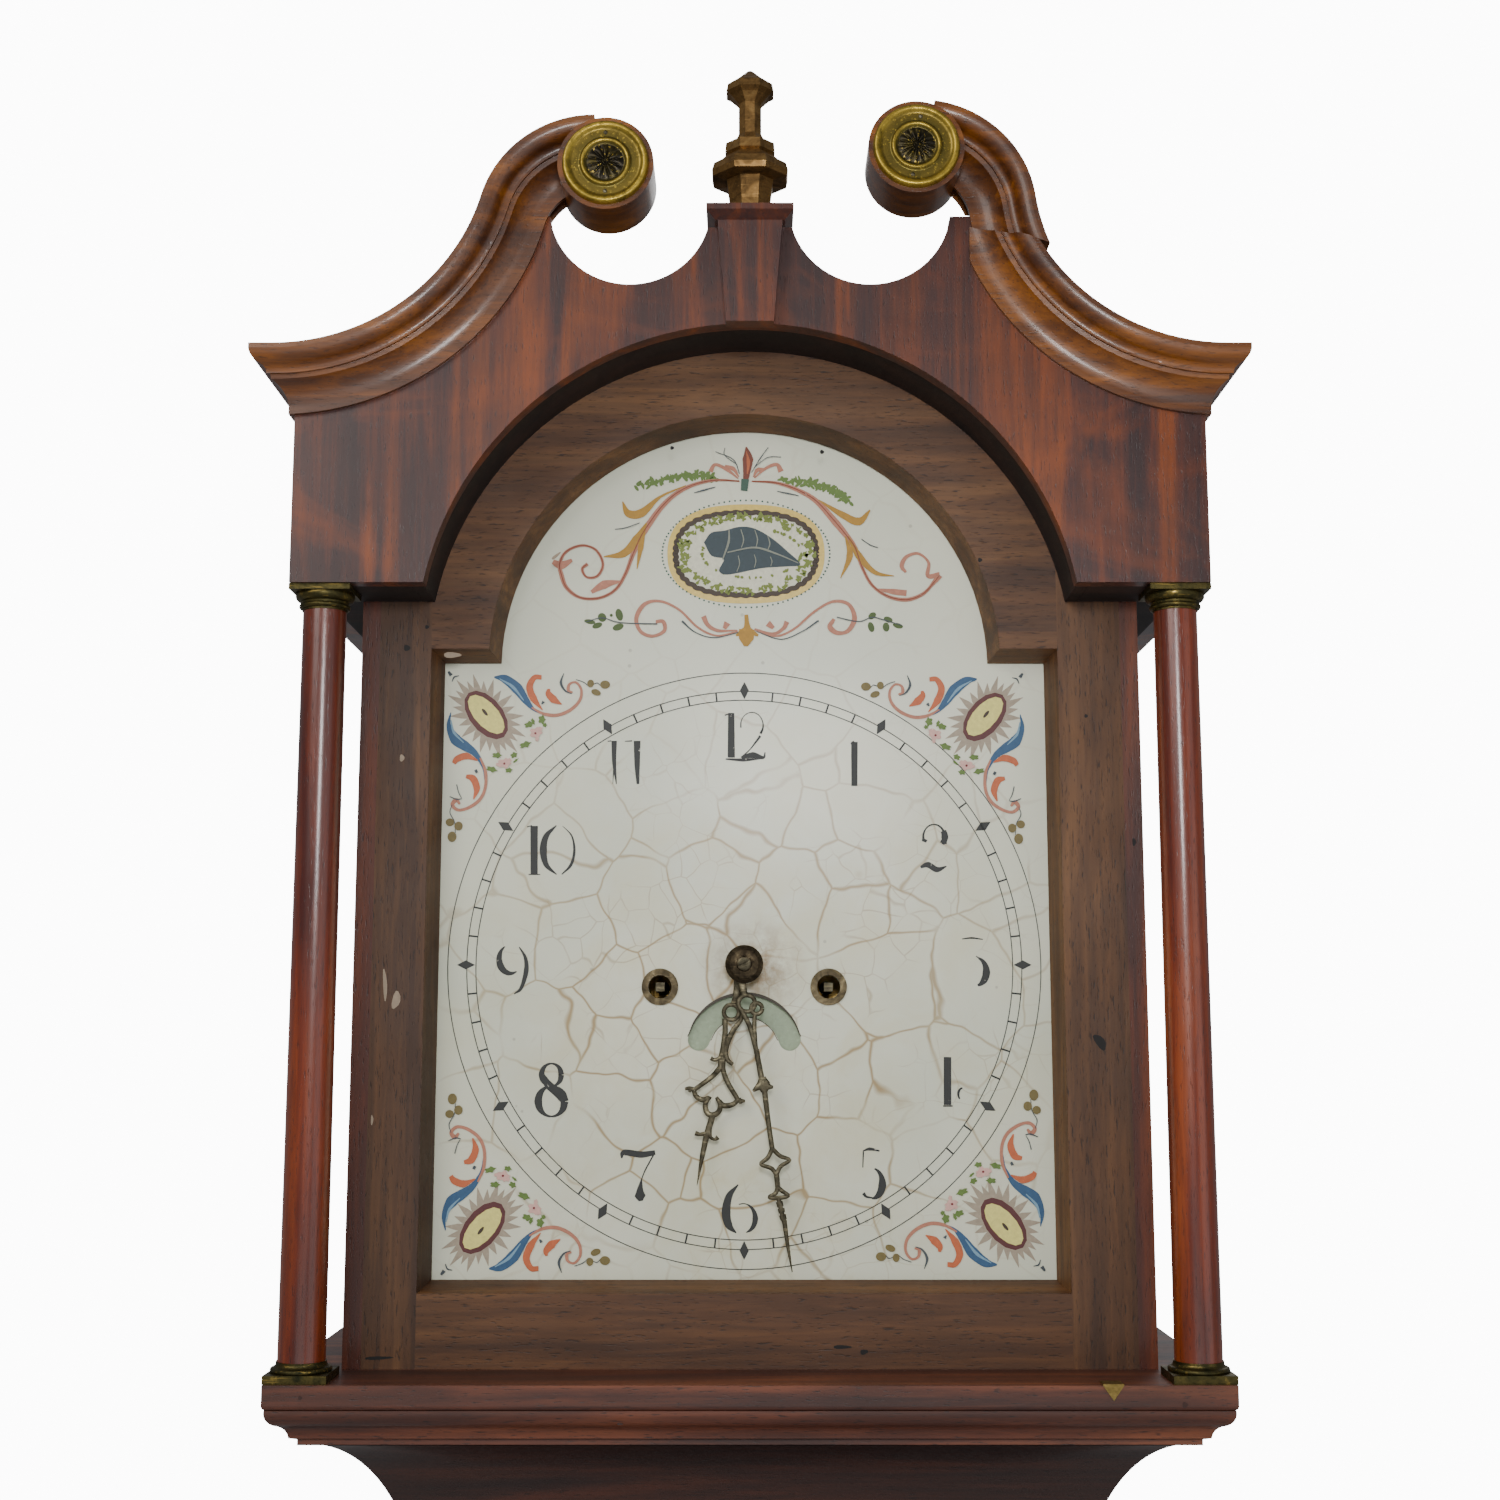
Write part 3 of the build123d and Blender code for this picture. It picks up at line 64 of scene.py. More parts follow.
# Dial, in metres
DIAL_X = -0.003
DIAL_Z = 1.809
DIAL_Y = -0.0735
HOUR_Y = -0.0806
MINUTE_Y = -0.0852
DATE_DROP = 0.0458
PAINT_LIFT = 0.00012
PAINT_FILM = 0.000003
PAINT_LAYERS = 12

# Faces and fittings of the hood, in metres
MASK_FACE_Y = -0.0925
LEDGE_FACE_Y = -0.1385
COLLET_FACE_Y = -0.0892
SCREW_RADIUS = 0.0034
ROSETTE_RADIUS = 0.0224
PIN_REACH = 0.0158


def srgb(red, green, blue):
    """A linear colour from red, green and blue out of 255."""
    parts = []
    for value in (red, green, blue):
        share = value / 255
        parts.append(share / 12.92 if share <= 0.04045 else ((share + 0.055) / 1.055) ** 2.4)
    return (*parts, 1.0)


def shade(colour, factor):
    """The colour made darker or lighter by a factor."""
    return (*[min(part * factor, 1.0) for part in colour[:3]], 1.0)


class Net:
    """One procedural material, built from nodes that read object coordinates."""

    def __init__(self, name):
        self.material = bpy.data.materials.new(name)
        self.material.use_nodes = True
        self.tree = self.material.node_tree
        self.tree.nodes.clear()
        self.output = self.tree.nodes.new("ShaderNodeOutputMaterial")
        self.surface = self.tree.nodes.new("ShaderNodeBsdfPrincipled")
        self.tree.links.new(self.surface.outputs[0], self.output.inputs[0])
        self.place = self.tree.nodes.new("ShaderNodeTexCoord").outputs["Object"]

    def put(self, socket, value):
        """Link a socket or set a constant."""
        if isinstance(value, bpy.types.NodeSocket):
            self.tree.links.new(value, socket)
        else:
            socket.default_value = value

    def scaled(self, scale, turn=(0, 0, 0), shift=(0, 0, 0)):
        """Object coordinates turned, then stretched."""
        node = self.tree.nodes.new("ShaderNodeMapping")
        self.put(node.inputs["Vector"], self.place)
        node.inputs["Location"].default_value = shift
        node.inputs["Rotation"].default_value = turn
        node.inputs["Scale"].default_value = scale
        return node.outputs[0]

    def noise(self, scale, detail=4.0, rough=0.55, warp=0.0, place=None):
        """Fractal noise from 0 to 1."""
        node = self.tree.nodes.new("ShaderNodeTexNoise")
        self.put(node.inputs["Vector"], place or self.place)
        node.inputs["Scale"].default_value = scale
        node.inputs["Detail"].default_value = detail
        node.inputs["Roughness"].default_value = rough
        node.inputs["Distortion"].default_value = warp
        return node.outputs["Fac"]

    def cells(self, scale, feature="DISTANCE_TO_EDGE", place=None, randomness=1.0):
        """Distance inside a net of cells."""
        node = self.tree.nodes.new("ShaderNodeTexVoronoi")
        node.feature = feature
        self.put(node.inputs["Vector"], place or self.place)
        node.inputs["Scale"].default_value = scale
        node.inputs["Randomness"].default_value = randomness
        return node.outputs["Distance"]

    def steps(self, value, low, high):
        """0 below low, 1 above high, straight between them; falls if low is above high."""
        node = self.tree.nodes.new("ShaderNodeMapRange")
        self.put(node.inputs["Value"], value)
        node.inputs["From Min"].default_value = low
        node.inputs["From Max"].default_value = high
        return node.outputs[0]

    def ramp(self, value, *stops):
        """A colour ramp through (place, colour) stops."""
        node = self.tree.nodes.new("ShaderNodeValToRGB")
        self.put(node.inputs[0], value)
        band = node.color_ramp
        while len(band.elements) < len(stops):
            band.elements.new(0.5)
        for element, (spot, colour) in zip(band.elements, stops):
            element.position = spot
            element.color = colour
        return node.outputs[0]

    def math(self, kind, first, second=0.0):
        """One sum of two values."""
        node = self.tree.nodes.new("ShaderNodeMath")
        node.operation = kind
        self.put(node.inputs[0], first)
        self.put(node.inputs[1], second)
        return node.outputs[0]

    def mix(self, share, first, second, kind="MIX"):
        """Two colours mixed by a share."""
        node = self.tree.nodes.new("ShaderNodeMix")
        node.data_type = "RGBA"
        node.blend_type = kind
        self.put(node.inputs[0], share)
        self.put(node.inputs[6], first)
        self.put(node.inputs[7], second)
        return node.outputs[2]

    def lay(self, colour, mask, share, other):
        """Another colour laid over a colour where the mask is 1, by a share."""
        return self.mix(self.math("MULTIPLY", mask, share), colour, other)

    def far(self, centre, reach):
        """Distance from a point divided by reach."""
        node = self.tree.nodes.new("ShaderNodeVectorMath")
        node.operation = "DISTANCE"
        self.put(node.inputs[0], self.place)
        node.inputs[1].default_value = centre
        return self.math("DIVIDE", node.outputs["Value"], reach)

    def bump(self, height, strength, depth, under=None):
        """A normal bent by a height."""
        node = self.tree.nodes.new("ShaderNodeBump")
        self.put(node.inputs["Height"], height)
        node.inputs["Strength"].default_value = strength
        node.inputs["Distance"].default_value = depth
        if under is not None:
            self.put(node.inputs["Normal"], under)
        return node.outputs[0]

    def finish(self, colour, rough=0.5, metal=0.0, normal=None, coat=0.0):
        """Set the surface and give back the material."""
        self.put(self.surface.inputs["Base Color"], colour)
        self.put(self.surface.inputs["Roughness"], rough)
        self.put(self.surface.inputs["Metallic"], metal)
        self.surface.inputs["Coat Weight"].default_value = coat
        self.surface.inputs["Coat Roughness"].default_value = 0.18
        if normal is not None:
            self.put(self.surface.inputs["Normal"], normal)
        return self.material


GRAIN = {"x": (0.06, 1.0, 1.0), "y": (1.0, 0.06, 1.0), "z": (1.0, 1.0, 0.06)}


def rich(colour, gain=1.3, level=0.9):
    """The colour with its distance from grey stretched by gain."""
    grey = sum(colour[:3]) / 3
    return (*[max(0.0, (grey + (part - grey) * gain) * level) for part in colour[:3]], 1.0)


def wood(name, dark, middle, light, grain="z", flame=0.0, gloss=0.35, grime=0.35, coat=0.15, pores=0.6):
    """Polished wood: broad figure, fibres, short dark pores, cross flame and grime."""
    net = Net(name)
    dark, middle, light = rich(dark), rich(middle), rich(light)
    stretch = GRAIN[grain]
    along = net.scaled(stretch)
    broad = net.noise(34, 3, 0.5, 1.6, along)
    fibre = net.noise(250, 5, 0.65, 0.6, along)
    short = tuple(part * (2.2 if part < 1 else 1) for part in stretch)
    pore = net.noise(1250, 2, 0.5, 0.0, net.scaled(short))
    colour = net.ramp(broad, (0.33, dark), (0.5, middle), (0.67, light))
    colour = net.lay(colour, net.steps(fibre, 0.4, 0.72), 0.55, shade(dark, 0.55))
    colour = net.lay(colour, net.steps(fibre, 0.5, 0.25), 0.25, light)
    if flame:
        across = net.scaled(tuple(0.35 if part == 1 else 0.5 for part in stretch), (0, 0.5, 0))
        band = net.noise(26, 4, 0.55, 1.8, across)
        colour = net.lay(colour, net.steps(band, 0.5, 0.72), flame, shade(light, 1.55))
        colour = net.lay(colour, net.steps(band, 0.5, 0.3), flame * 0.8, shade(dark, 0.5))
    pit = net.steps(pore, 0.6, 0.7)
    colour = net.lay(colour, pit, pores, shade(dark, 0.3))
    dirt = net.noise(7, 6, 0.62, 0.5)
    colour = net.lay(colour, net.steps(dirt, 0.48, 0.75), grime, shade(dark, 0.35))
    scuff = net.math("MULTIPLY", net.steps(net.noise(90, 3, 0.5, 0.0, along), 0.68, 0.76), 0.25)
    colour = net.mix(scuff, colour, shade(light, 1.7))
    rough = net.math("ADD", gloss, net.math("MULTIPLY", net.noise(22, 4), 0.25))
    height = net.math("SUBTRACT", net.math("MULTIPLY", fibre, 0.4), pit)
    return net.finish(colour, rough, 0.0, net.bump(height, 0.25, 0.0004), coat)


def metal(name, dark, middle, bright, gloss=0.32, patina=0.5, scale=1.0, brushed=None):
    """Old metal: blotched patina, polished spots, hair scratches and dents."""
    net = Net(name)
    blotch = net.noise(70 * scale, 6, 0.65, 0.8)
    fine = net.noise(520 * scale, 4, 0.6)
    colour = net.ramp(blotch, (0.3, dark), (0.3 + 0.35 * patina, middle), (0.8, bright))
    colour = net.lay(colour, net.steps(fine, 0.5, 0.75), 0.5, shade(dark, 0.6))
    scratch = net.noise(900, 2, 0.5, 0.0, net.scaled(brushed or (0.08, 1.0, 1.0), (0.2, 0.5, 0.3)))
    colour = net.lay(colour, net.steps(scratch, 0.62, 0.7), 0.3, shade(bright, 1.2))
    rough = net.math("ADD", gloss, net.math("MULTIPLY", net.steps(blotch, 0.7, 0.3), 0.3))
    height = net.math("ADD", fine, net.math("MULTIPLY", scratch, 0.5))
    return net.finish(colour, rough, 0.95, net.bump(height, 0.18, 0.0003))


def paint(name, colour, worn=0.0, rough=0.55):
    """Brushed-on paint that thins in streaks to the pale ground under it."""
    net = Net(name)
    streak = net.noise(420, 4, 0.6, 0.4)
    tone = net.lay(colour, net.steps(streak, 0.5, 0.8), 0.5, shade(colour, 0.6))
    tone = net.lay(tone, net.steps(streak, 0.45, 0.25), 0.45, shade(colour, 1.5))
    chip = net.noise(210, 5, 0.7)
    tone = net.mix(net.steps(chip, 0.78 - worn, 0.84 - worn), tone, srgb(208, 205, 188))
    return net.finish(tone, rough, 0.0, net.bump(streak, 0.1, 0.0001))


def dial_ground():
    """Cream enamel with a web of tan cracks, brown stains low down and a rusty bloom by the centre."""
    net = Net("dial_enamel")
    wander = net.tree.nodes.new("ShaderNodeVectorMath")
    wander.operation = "ADD"
    ripple = net.tree.nodes.new("ShaderNodeTexNoise")
    net.put(ripple.inputs["Vector"], net.place)
    ripple.inputs["Scale"].default_value = 32
    small = net.tree.nodes.new("ShaderNodeVectorMath")
    small.operation = "SCALE"
    net.put(small.inputs[0], ripple.outputs["Color"])
    small.inputs["Scale"].default_value = 0.014
    net.put(wander.inputs[0], net.place)
    net.put(wander.inputs[1], small.outputs[0])
    bent = wander.outputs[0]
    tone = net.ramp(net.noise(9, 4, 0.5), (0.3, srgb(202, 206, 184)), (0.7, srgb(220, 220, 198)))
    centre = (DIAL_X, DIAL_Y, DIAL_Z - 0.03)
    near = net.steps(net.far(centre, 0.2), 1.0, 0.45)
    warm = net.math("MULTIPLY", near, net.steps(net.noise(26, 5, 0.6, 0.5), 0.4, 0.72))
    tone = net.lay(tone, warm, 0.5, srgb(206, 196, 150))
    low = net.steps(net.far((DIAL_X, DIAL_Y, DIAL_Z - 0.16), 0.14), 1.0, 0.2)
    ochre = net.math("MULTIPLY", low, net.steps(net.noise(38, 5, 0.65, 1.0), 0.54, 0.78))
    tone = net.lay(tone, ochre, 0.55, srgb(190, 172, 110))
    coarse = net.steps(net.cells(27, place=bent), 0.024, 0.004)
    fine = net.steps(net.cells(64, place=bent), 0.026, 0.004)
    patch = net.steps(net.noise(16, 3, 0.5), 0.36, 0.5)
    web = net.math("MULTIPLY", net.math("MULTIPLY", coarse, patch), net.math("ADD", near, 0.10))
    tone = net.lay(tone, web, 0.75, srgb(150, 118, 58))
    web_fine = net.math("MULTIPLY", net.math("MULTIPLY", fine, net.steps(net.noise(21, 3), 0.5, 0.62)), near)
    tone = net.lay(tone, web_fine, 0.5, srgb(150, 122, 70))
    rust = net.steps(net.far((DIAL_X + 0.005, DIAL_Y, DIAL_Z - 0.002), 0.03), 1.0, 0.25)
    rust = net.math("MULTIPLY", rust, net.steps(net.noise(120, 5, 0.7), 0.35, 0.62))
    tone = net.lay(tone, rust, 0.85, srgb(140, 104, 44))
    speck = net.steps(net.cells(42, "F1"), 0.05, 0.03)
    tone = net.lay(tone, speck, 0.35, srgb(96, 84, 60))
    height = net.math("SUBTRACT", net.math("MULTIPLY", net.noise(300, 3), 0.3), web)
    return net.finish(tone, 0.38, 0.0, net.bump(height, 0.12, 0.0002), 0.12)


def bead_brass(name, centre):
    """A pressed brass disc: gilt rim and inner bead, tarnished flat ring and a black flower."""
    net = Net(name)
    reach = net.far(centre, ROSETTE_RADIUS)
    gold = srgb(178, 150, 60)
    dull = srgb(104, 92, 44)
    black = srgb(46, 42, 34)
    ring = net.ramp(reach, (0.0, black), (0.42, black), (0.47, dull), (0.53, gold), (0.60, dull),
                    (0.8, srgb(132, 112, 50)), (0.86, gold), (1.0, gold))
    blotch = net.noise(190, 5, 0.65, 0.6)
    colour = net.mix(net.steps(blotch, 0.45, 0.75), ring, shade(dull, 0.6))
    colour = net.lay(colour, net.steps(net.noise(700, 2), 0.62, 0.7), 0.5, shade(gold, 1.7))
    rough = net.math("ADD", 0.25, net.math("MULTIPLY", blotch, 0.3))
    return net.finish(colour, rough, 0.9, net.bump(blotch, 0.12, 0.0003))


# Surfaces computed from outlines

def smooth(points, steps=8):
    """Points along a Catmull-Rom curve: each run blends four neighbours by a cubic in its share t."""
    knots = np.asarray(points, float)
    padded = np.vstack((2 * knots[0] - knots[1], knots, 2 * knots[-1] - knots[-2]))
    share = np.linspace(0, 1, steps, endpoint=False)[None, :, None]
    a, b, c, d = (padded[i:len(padded) - 3 + i][:, None, :] for i in range(4))
    curve = 0.5 * (2 * b + (c - a) * share + (2 * a - 5 * b + 4 * c - d) * share ** 2
                   + (3 * b - a - 3 * c + d) * share ** 3)
    return np.vstack((curve.reshape(-1, knots.shape[1]), knots[-1]))


def from_view(points, depth_y):
    """Where the picture's rays through points meet the upright plane at depth_y, as X and Z.

    The ray is eye + t (u, cos tilt - w sin tilt, w cos tilt + sin tilt), u and w in focal lengths."""
    spots = np.asarray(points, float)
    across = (spots[:, 0] - PICTURE / 2) / FOCAL
    up = (PICTURE / 2 - spots[:, 1]) / FOCAL
    run = (depth_y - EYE[1]) / (np.cos(TILT) - up * np.sin(TILT))
    return np.column_stack((run * across, EYE[2] + run * (up * np.cos(TILT) + np.sin(TILT))))


def shared_out(values, count):
    """Values spread evenly along count points."""
    return np.interp(np.linspace(0, 1, count), np.linspace(0, 1, len(values)), values)


def sideways(line):
    """Unit vectors square to a line: its central differences turned by 90 degrees."""
    way = np.gradient(line, axis=0)
    way /= np.maximum(np.linalg.norm(way, axis=1, keepdims=True), 1e-9)
    return np.column_stack((-way[:, 1], way[:, 0]))


def strip_faces(count):
    """Faces between two rows of count points."""
    first = np.arange(count - 1)
    return np.column_stack((first, first + 1, first + 1 + count, first + count))


def round_faces(rows, around):
    """Faces between rows of points that each close on themselves."""
    row = np.arange(rows)[:, None] * around
    spoke = np.arange(around)[None, :]
    after = (spoke + 1) % around
    return np.stack((row + spoke, row + after, row + around + after, row + around + spoke), axis=2).reshape(-1, 4)


def ribbon(points, widths, steps=8):
    """A flat stroke: a smooth line through points with its width shared out along it."""
    line = smooth(points, steps)
    side = sideways(line) * shared_out(widths, len(line))[:, None] / 2
    return np.vstack((line + side, line - side)), strip_faces(len(line))


def blob(centre, wide, tall, turn=0.0, sides=14, wave=0.0, waves=5):
    """A filled round or leaf-shaped dab: radius 1 + wave cos(waves t) on an ellipse turned by turn degrees."""
    angle = np.linspace(0, 2 * pi, sides, endpoint=False)
    swell = 1 + wave * np.cos(waves * angle)
    x = np.cos(angle) * wide * swell
    z = np.sin(angle) * tall * swell
    lean = radians(turn)
    ring = np.column_stack((x * cos(lean) - z * sin(lean), x * sin(lean) + z * cos(lean))) + centre
    corners = np.vstack((np.asarray(centre, float)[None], ring))
    rim = np.arange(sides)
    third = (rim + 1) % sides + 1
    return corners, np.column_stack((np.zeros(sides, int), rim + 1, third, third))


def band(radius, width, start=0.0, end=360.0, sides=180):
    """A flat ring, or part of one, about the dial's centre; angles run clockwise from twelve."""
    angle = np.radians(np.linspace(start, end, sides))
    way = np.column_stack((np.sin(angle), np.cos(angle)))
    corners = np.vstack((way * (radius + width / 2), way * (radius - width / 2))) + (DIAL_X, DIAL_Z)
    return corners, strip_faces(sides)


def make_mesh(name, vertices, faces, material, smooth_faces=True):
    """A mesh object at the origin, from arrays."""
    mesh = bpy.data.meshes.new(name)
    clean = [list(dict.fromkeys(face)) for face in np.asarray(faces).tolist()]
    mesh.from_pydata(np.asarray(vertices, float).tolist(), [], clean)
    mesh.update()
    mesh.polygons.foreach_set("use_smooth", [smooth_faces] * len(mesh.polygons))
    mesh.materials.append(material)
    piece = bpy.data.objects.new(name, mesh)
    bpy.context.scene.collection.objects.link(piece)
    return piece


def joined(parts):
    """Several sets of corners and faces as one."""
    corners = []
    faces = []
    count = 0
    for spots, ring in parts:
        corners.append(spots)
        faces.append(ring + count)
        count += len(spots)
    return np.vstack(corners), np.vstack(faces)


def decal(name, parts, material, lift):
    """Thin paint on the dial: flat strokes that stand lift metres off its face."""
    flat, faces = joined(parts)
    rise = np.concatenate([np.full(len(spots), index % PAINT_LAYERS) for index, (spots, _) in enumerate(parts)])
    corners = np.column_stack((flat[:, 0], DIAL_Y - lift - rise * PAINT_FILM, flat[:, 1]))
    piece = make_mesh(name, corners, faces, material, False)
    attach(piece, "case")
    return piece


def tube(points, radii, sides=8, flat=1.0, steps=8):
    """A rounded bar along a path in X and Z: cross sections cos t sideways and flat sin t in depth."""
    line = smooth(points, steps)
    spread = shared_out(radii, len(line))
    angle = np.linspace(0, 2 * pi, sides, endpoint=False)
    flank = sideways(line)[:, None, :] * (spread[:, None] * np.cos(angle))[:, :, None] + line[:, None, :]
    depth = np.broadcast_to(flat * np.sin(angle), (len(line), sides))
    corners = np.stack((flank[:, :, 0], depth, flank[:, :, 1]), axis=2).reshape(-1, 3)
    return corners, round_faces(len(line) - 1, sides)


# Look of the pieces

WOODS = {
    "fascia_wood": dict(dark=srgb(50, 28, 27), middle=srgb(72, 38, 31), light=srgb(122, 66, 38), grain="z",
                        flame=0.35, gloss=0.3, coat=0.3, grime=0.4),
    "neck_wood": dict(dark=srgb(66, 38, 24), middle=srgb(102, 62, 36), light=srgb(146, 94, 54), grain="x",
                      gloss=0.3, grime=0.5, coat=0.3),
    "return_wood": dict(dark=srgb(62, 34, 23), middle=srgb(90, 52, 33), light=srgb(130, 78, 48), grain="y"),
    "mask_upright": dict(dark=srgb(62, 40, 26), middle=srgb(88, 60, 40), light=srgb(114, 82, 56), grain="z",
                         gloss=0.45, coat=0.0, grime=0.3, pores=0.8),
    "mask_across": dict(dark=srgb(64, 41, 27), middle=srgb(90, 61, 41), light=srgb(116, 84, 58), grain="x",
                        gloss=0.45, coat=0.0, grime=0.3, pores=0.8),
    "ledge_wood": dict(dark=srgb(58, 32, 25), middle=srgb(92, 53, 40), light=srgb(126, 78, 58), grain="x",
                       gloss=0.4, grime=0.55, pores=0.85),
    "cove_wood": dict(dark=srgb(34, 18, 15), middle=srgb(50, 27, 21), light=srgb(72, 40, 30), grain="x",
                      gloss=0.4, grime=0.5),
    "column_wood": dict(dark=srgb(74, 32, 26), middle=srgb(112, 52, 37), light=srgb(144, 78, 54), grain="z",
                        gloss=0.22, grime=0.4, coat=0.5),
    "side_wood": dict(dark=srgb(60, 28, 20), middle=srgb(84, 42, 28), light=srgb(114, 62, 40), grain="z"),
    "door_wood": dict(dark=srgb(66, 28, 20), middle=srgb(96, 44, 29), light=srgb(134, 68, 42), grain="z",
                      flame=0.6, gloss=0.27, coat=0.35),
    "plinth_wood": dict(dark=srgb(62, 27, 20), middle=srgb(88, 40, 27), light=srgb(122, 62, 40), grain="z",
                        flame=0.35, gloss=0.32, coat=0.2),
    "skirting_wood": dict(dark=srgb(52, 25, 19), middle=srgb(74, 37, 26), light=srgb(104, 56, 38), grain="x",
                          grime=0.6, gloss=0.42),
    # The frieze soffits get a near-black copy of the mahogany: painted shade on the underside of the frieze.
    "shaded_soffit_wood": dict(dark=srgb(22, 14, 12), middle=srgb(32, 21, 17), light=srgb(48, 31, 25), grain="x",
                        gloss=0.6, coat=0.0),
    "deal_upright": dict(dark=srgb(92, 66, 42), middle=srgb(122, 90, 58), light=srgb(150, 114, 76), grain="z",
                         gloss=0.65, coat=0.0, grime=0.5),
    "deal_across": dict(dark=srgb(86, 62, 40), middle=srgb(114, 84, 54), light=srgb(142, 108, 72), grain="x",
                        gloss=0.65, coat=0.0, grime=0.5),
    "deal_deep": dict(dark=srgb(80, 56, 36), middle=srgb(106, 78, 50), light=srgb(134, 102, 68), grain="y",
                      gloss=0.65, coat=0.0, grime=0.6),
}

METALS = {
    "column_brass": dict(dark=srgb(42, 44, 30), middle=srgb(92, 82, 46), bright=srgb(178, 148, 74), patina=0.9,
                         scale=1.6),
    "finial_brass": dict(dark=srgb(74, 56, 34), middle=srgb(128, 98, 58), bright=srgb(178, 142, 88), patina=0.6,
                         gloss=0.38),
    "fitting_brass": dict(dark=srgb(84, 70, 38), middle=srgb(132, 112, 62), bright=srgb(188, 162, 96)),
    "ring_brass": dict(dark=srgb(52, 46, 36), middle=srgb(88, 78, 58), bright=srgb(134, 122, 94), patina=0.8,
                       scale=2.0),
    "movement_brass": dict(dark=srgb(132, 104, 54), middle=srgb(172, 140, 78), bright=srgb(214, 184, 116),
                           gloss=0.28),
    "bell_metal": dict(dark=srgb(120, 104, 74), middle=srgb(164, 146, 108), bright=srgb(206, 190, 150)),
    "dark_steel": dict(dark=srgb(56, 52, 42), middle=srgb(98, 92, 74), bright=srgb(170, 158, 124), patina=0.8,
                       scale=3.0, gloss=0.4),
    "collet_bronze": dict(dark=srgb(40, 34, 26), middle=srgb(74, 64, 48), bright=srgb(120, 106, 82), patina=0.8,
                          scale=3.0, gloss=0.4),
    "bright_steel": dict(dark=srgb(92, 92, 92), middle=srgb(136, 136, 134), bright=srgb(180, 180, 178)),
    "cast_iron": dict(dark=srgb(28, 28, 28), middle=srgb(46, 45, 44), bright=srgb(70, 68, 66), gloss=0.55),
}

NODE_LOOKS = {
    "fascia_wood": "pediment_fascia frieze_sides keystone",
    "neck_wood": "swan_neck_left swan_neck_right swan_neck_right_scroll",
    "return_wood": "cornice_returns",
    "mask_upright": "mask_stiles",
    "mask_across": "mask_rails",
    "ledge_wood": "hood_ledge hood_base_moulding",
    "cove_wood": "throat_moulding waist_moulding",
    "column_wood": "column_shafts",
    "side_wood": "hood_sides trunk_sides trunk_front_frame",
    "door_wood": "trunk_door",
    "plinth_wood": "plinth_panels",
    "skirting_wood": "plinth_skirting",
    "shaded_soffit_wood": "frieze_soffits",
    "deal_upright": "backboard",
    "deal_across": "seat_board plinth_battens",
    "deal_deep": "hood_roof",
    "column_brass": "column_brasses",
    "finial_brass": "finial",
    "fitting_brass": "door_pivot_plate door_hinge_case_leaves door_hinge_leaves door_lock",
    "ring_brass": "winding_hole_rings",
    "movement_brass": "movement_plates movement_pillars movement_cocks hour_wheel minute_wheel going_great_wheel "
                      "strike_great_wheel third_wheel escape_wheel going_pulley "
                      "strike_pulley pendulum_bob",
    "bell_metal": "bell",
    "dark_steel": "minute_hand hour_hand going_barrel strike_barrel",
    "collet_bronze": "centre_arbor",
    "bright_steel": "anchor_and_crutch pendulum_rod hammer",
    "cast_iron": "going_weight strike_weight",
}


def dress(names, material):
    """Give one material to CAD nodes."""
    for name in names.split():
        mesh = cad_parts[name].data
        mesh.materials.clear()
        mesh.materials.append(material)


class ClockLook(bpy.types.PropertyGroup):
    """How the surfaces have aged."""
    dial_wear: bpy.props.FloatProperty(name="Dial wear", description="How much of the ink has rubbed away",
                                       default=0.12, min=0.0, max=0.4)
    gut_thickness: bpy.props.FloatProperty(name="Gut line", description="Radius of the gut lines",
                                           default=0.0007, unit="LENGTH")


class DialPaint(bpy.types.PropertyGroup):
    """Sizes of the painted dial."""
    minute_outer: bpy.props.FloatProperty(name="Minute band outside", description="Radius of the outer minute circle",
                                          default=0.146, unit="LENGTH")
    minute_inner: bpy.props.FloatProperty(name="Minute band inside", description="Radius of the inner minute circle",
                                          default=0.1412, unit="LENGTH")
    border: bpy.props.FloatProperty(name="Border", description="Radius of the thin outer circle",
                                    default=0.156, unit="LENGTH")
    line: bpy.props.FloatProperty(name="Line", description="Width of the thin painted circles",
                                  default=0.0005, unit="LENGTH")


class HandShape(bpy.types.PropertyGroup):
    """Sizes of the pierced hands."""
    thickness: bpy.props.FloatProperty(name="Thickness", description="Half the thickness of a hand",
                                       default=0.00045, unit="LENGTH")


class CLOCK_OT_case_looks(bpy.types.Operator):
    """Give every wooden, brass and steel piece of the model its material"""
    bl_idname = "clock.case_looks"
    bl_label = "Case and movement finishes"

    def execute(self, context):
        for name, look in WOODS.items():
            dress(NODE_LOOKS[name], wood(name, **look))
        for name, look in METALS.items():
            dress(NODE_LOOKS[name], metal(name, **look))
        dress("dial", dial_ground())
        dress("date_disc", paint("date_disc_paint", srgb(150, 164, 136), 0.05))
        dress("going_line strike_line", paint("gut_cord", srgb(150, 122, 74), 0.0, 0.5))
        return {"FINISHED"}


# Numerals: the box of each in the picture, then its strokes in a box one wide and one high, as points and widths

def bow(cx, cz, rx, rz, start, end, count=9):
    """Points on an ellipse between two angles in degrees."""
    angle = np.radians(np.linspace(start, end, count))
    return np.column_stack((cx + rx * np.cos(angle), cz + rz * np.sin(angle)))


def round_widths(start, end, thin, thick, count=9):
    """Pen widths that swell on the flanks of a bow: thin + (thick - thin) cos squared of the angle."""
    angle = np.radians(np.linspace(start, end, count))
    return thin + (thick - thin) * np.cos(angle) ** 2


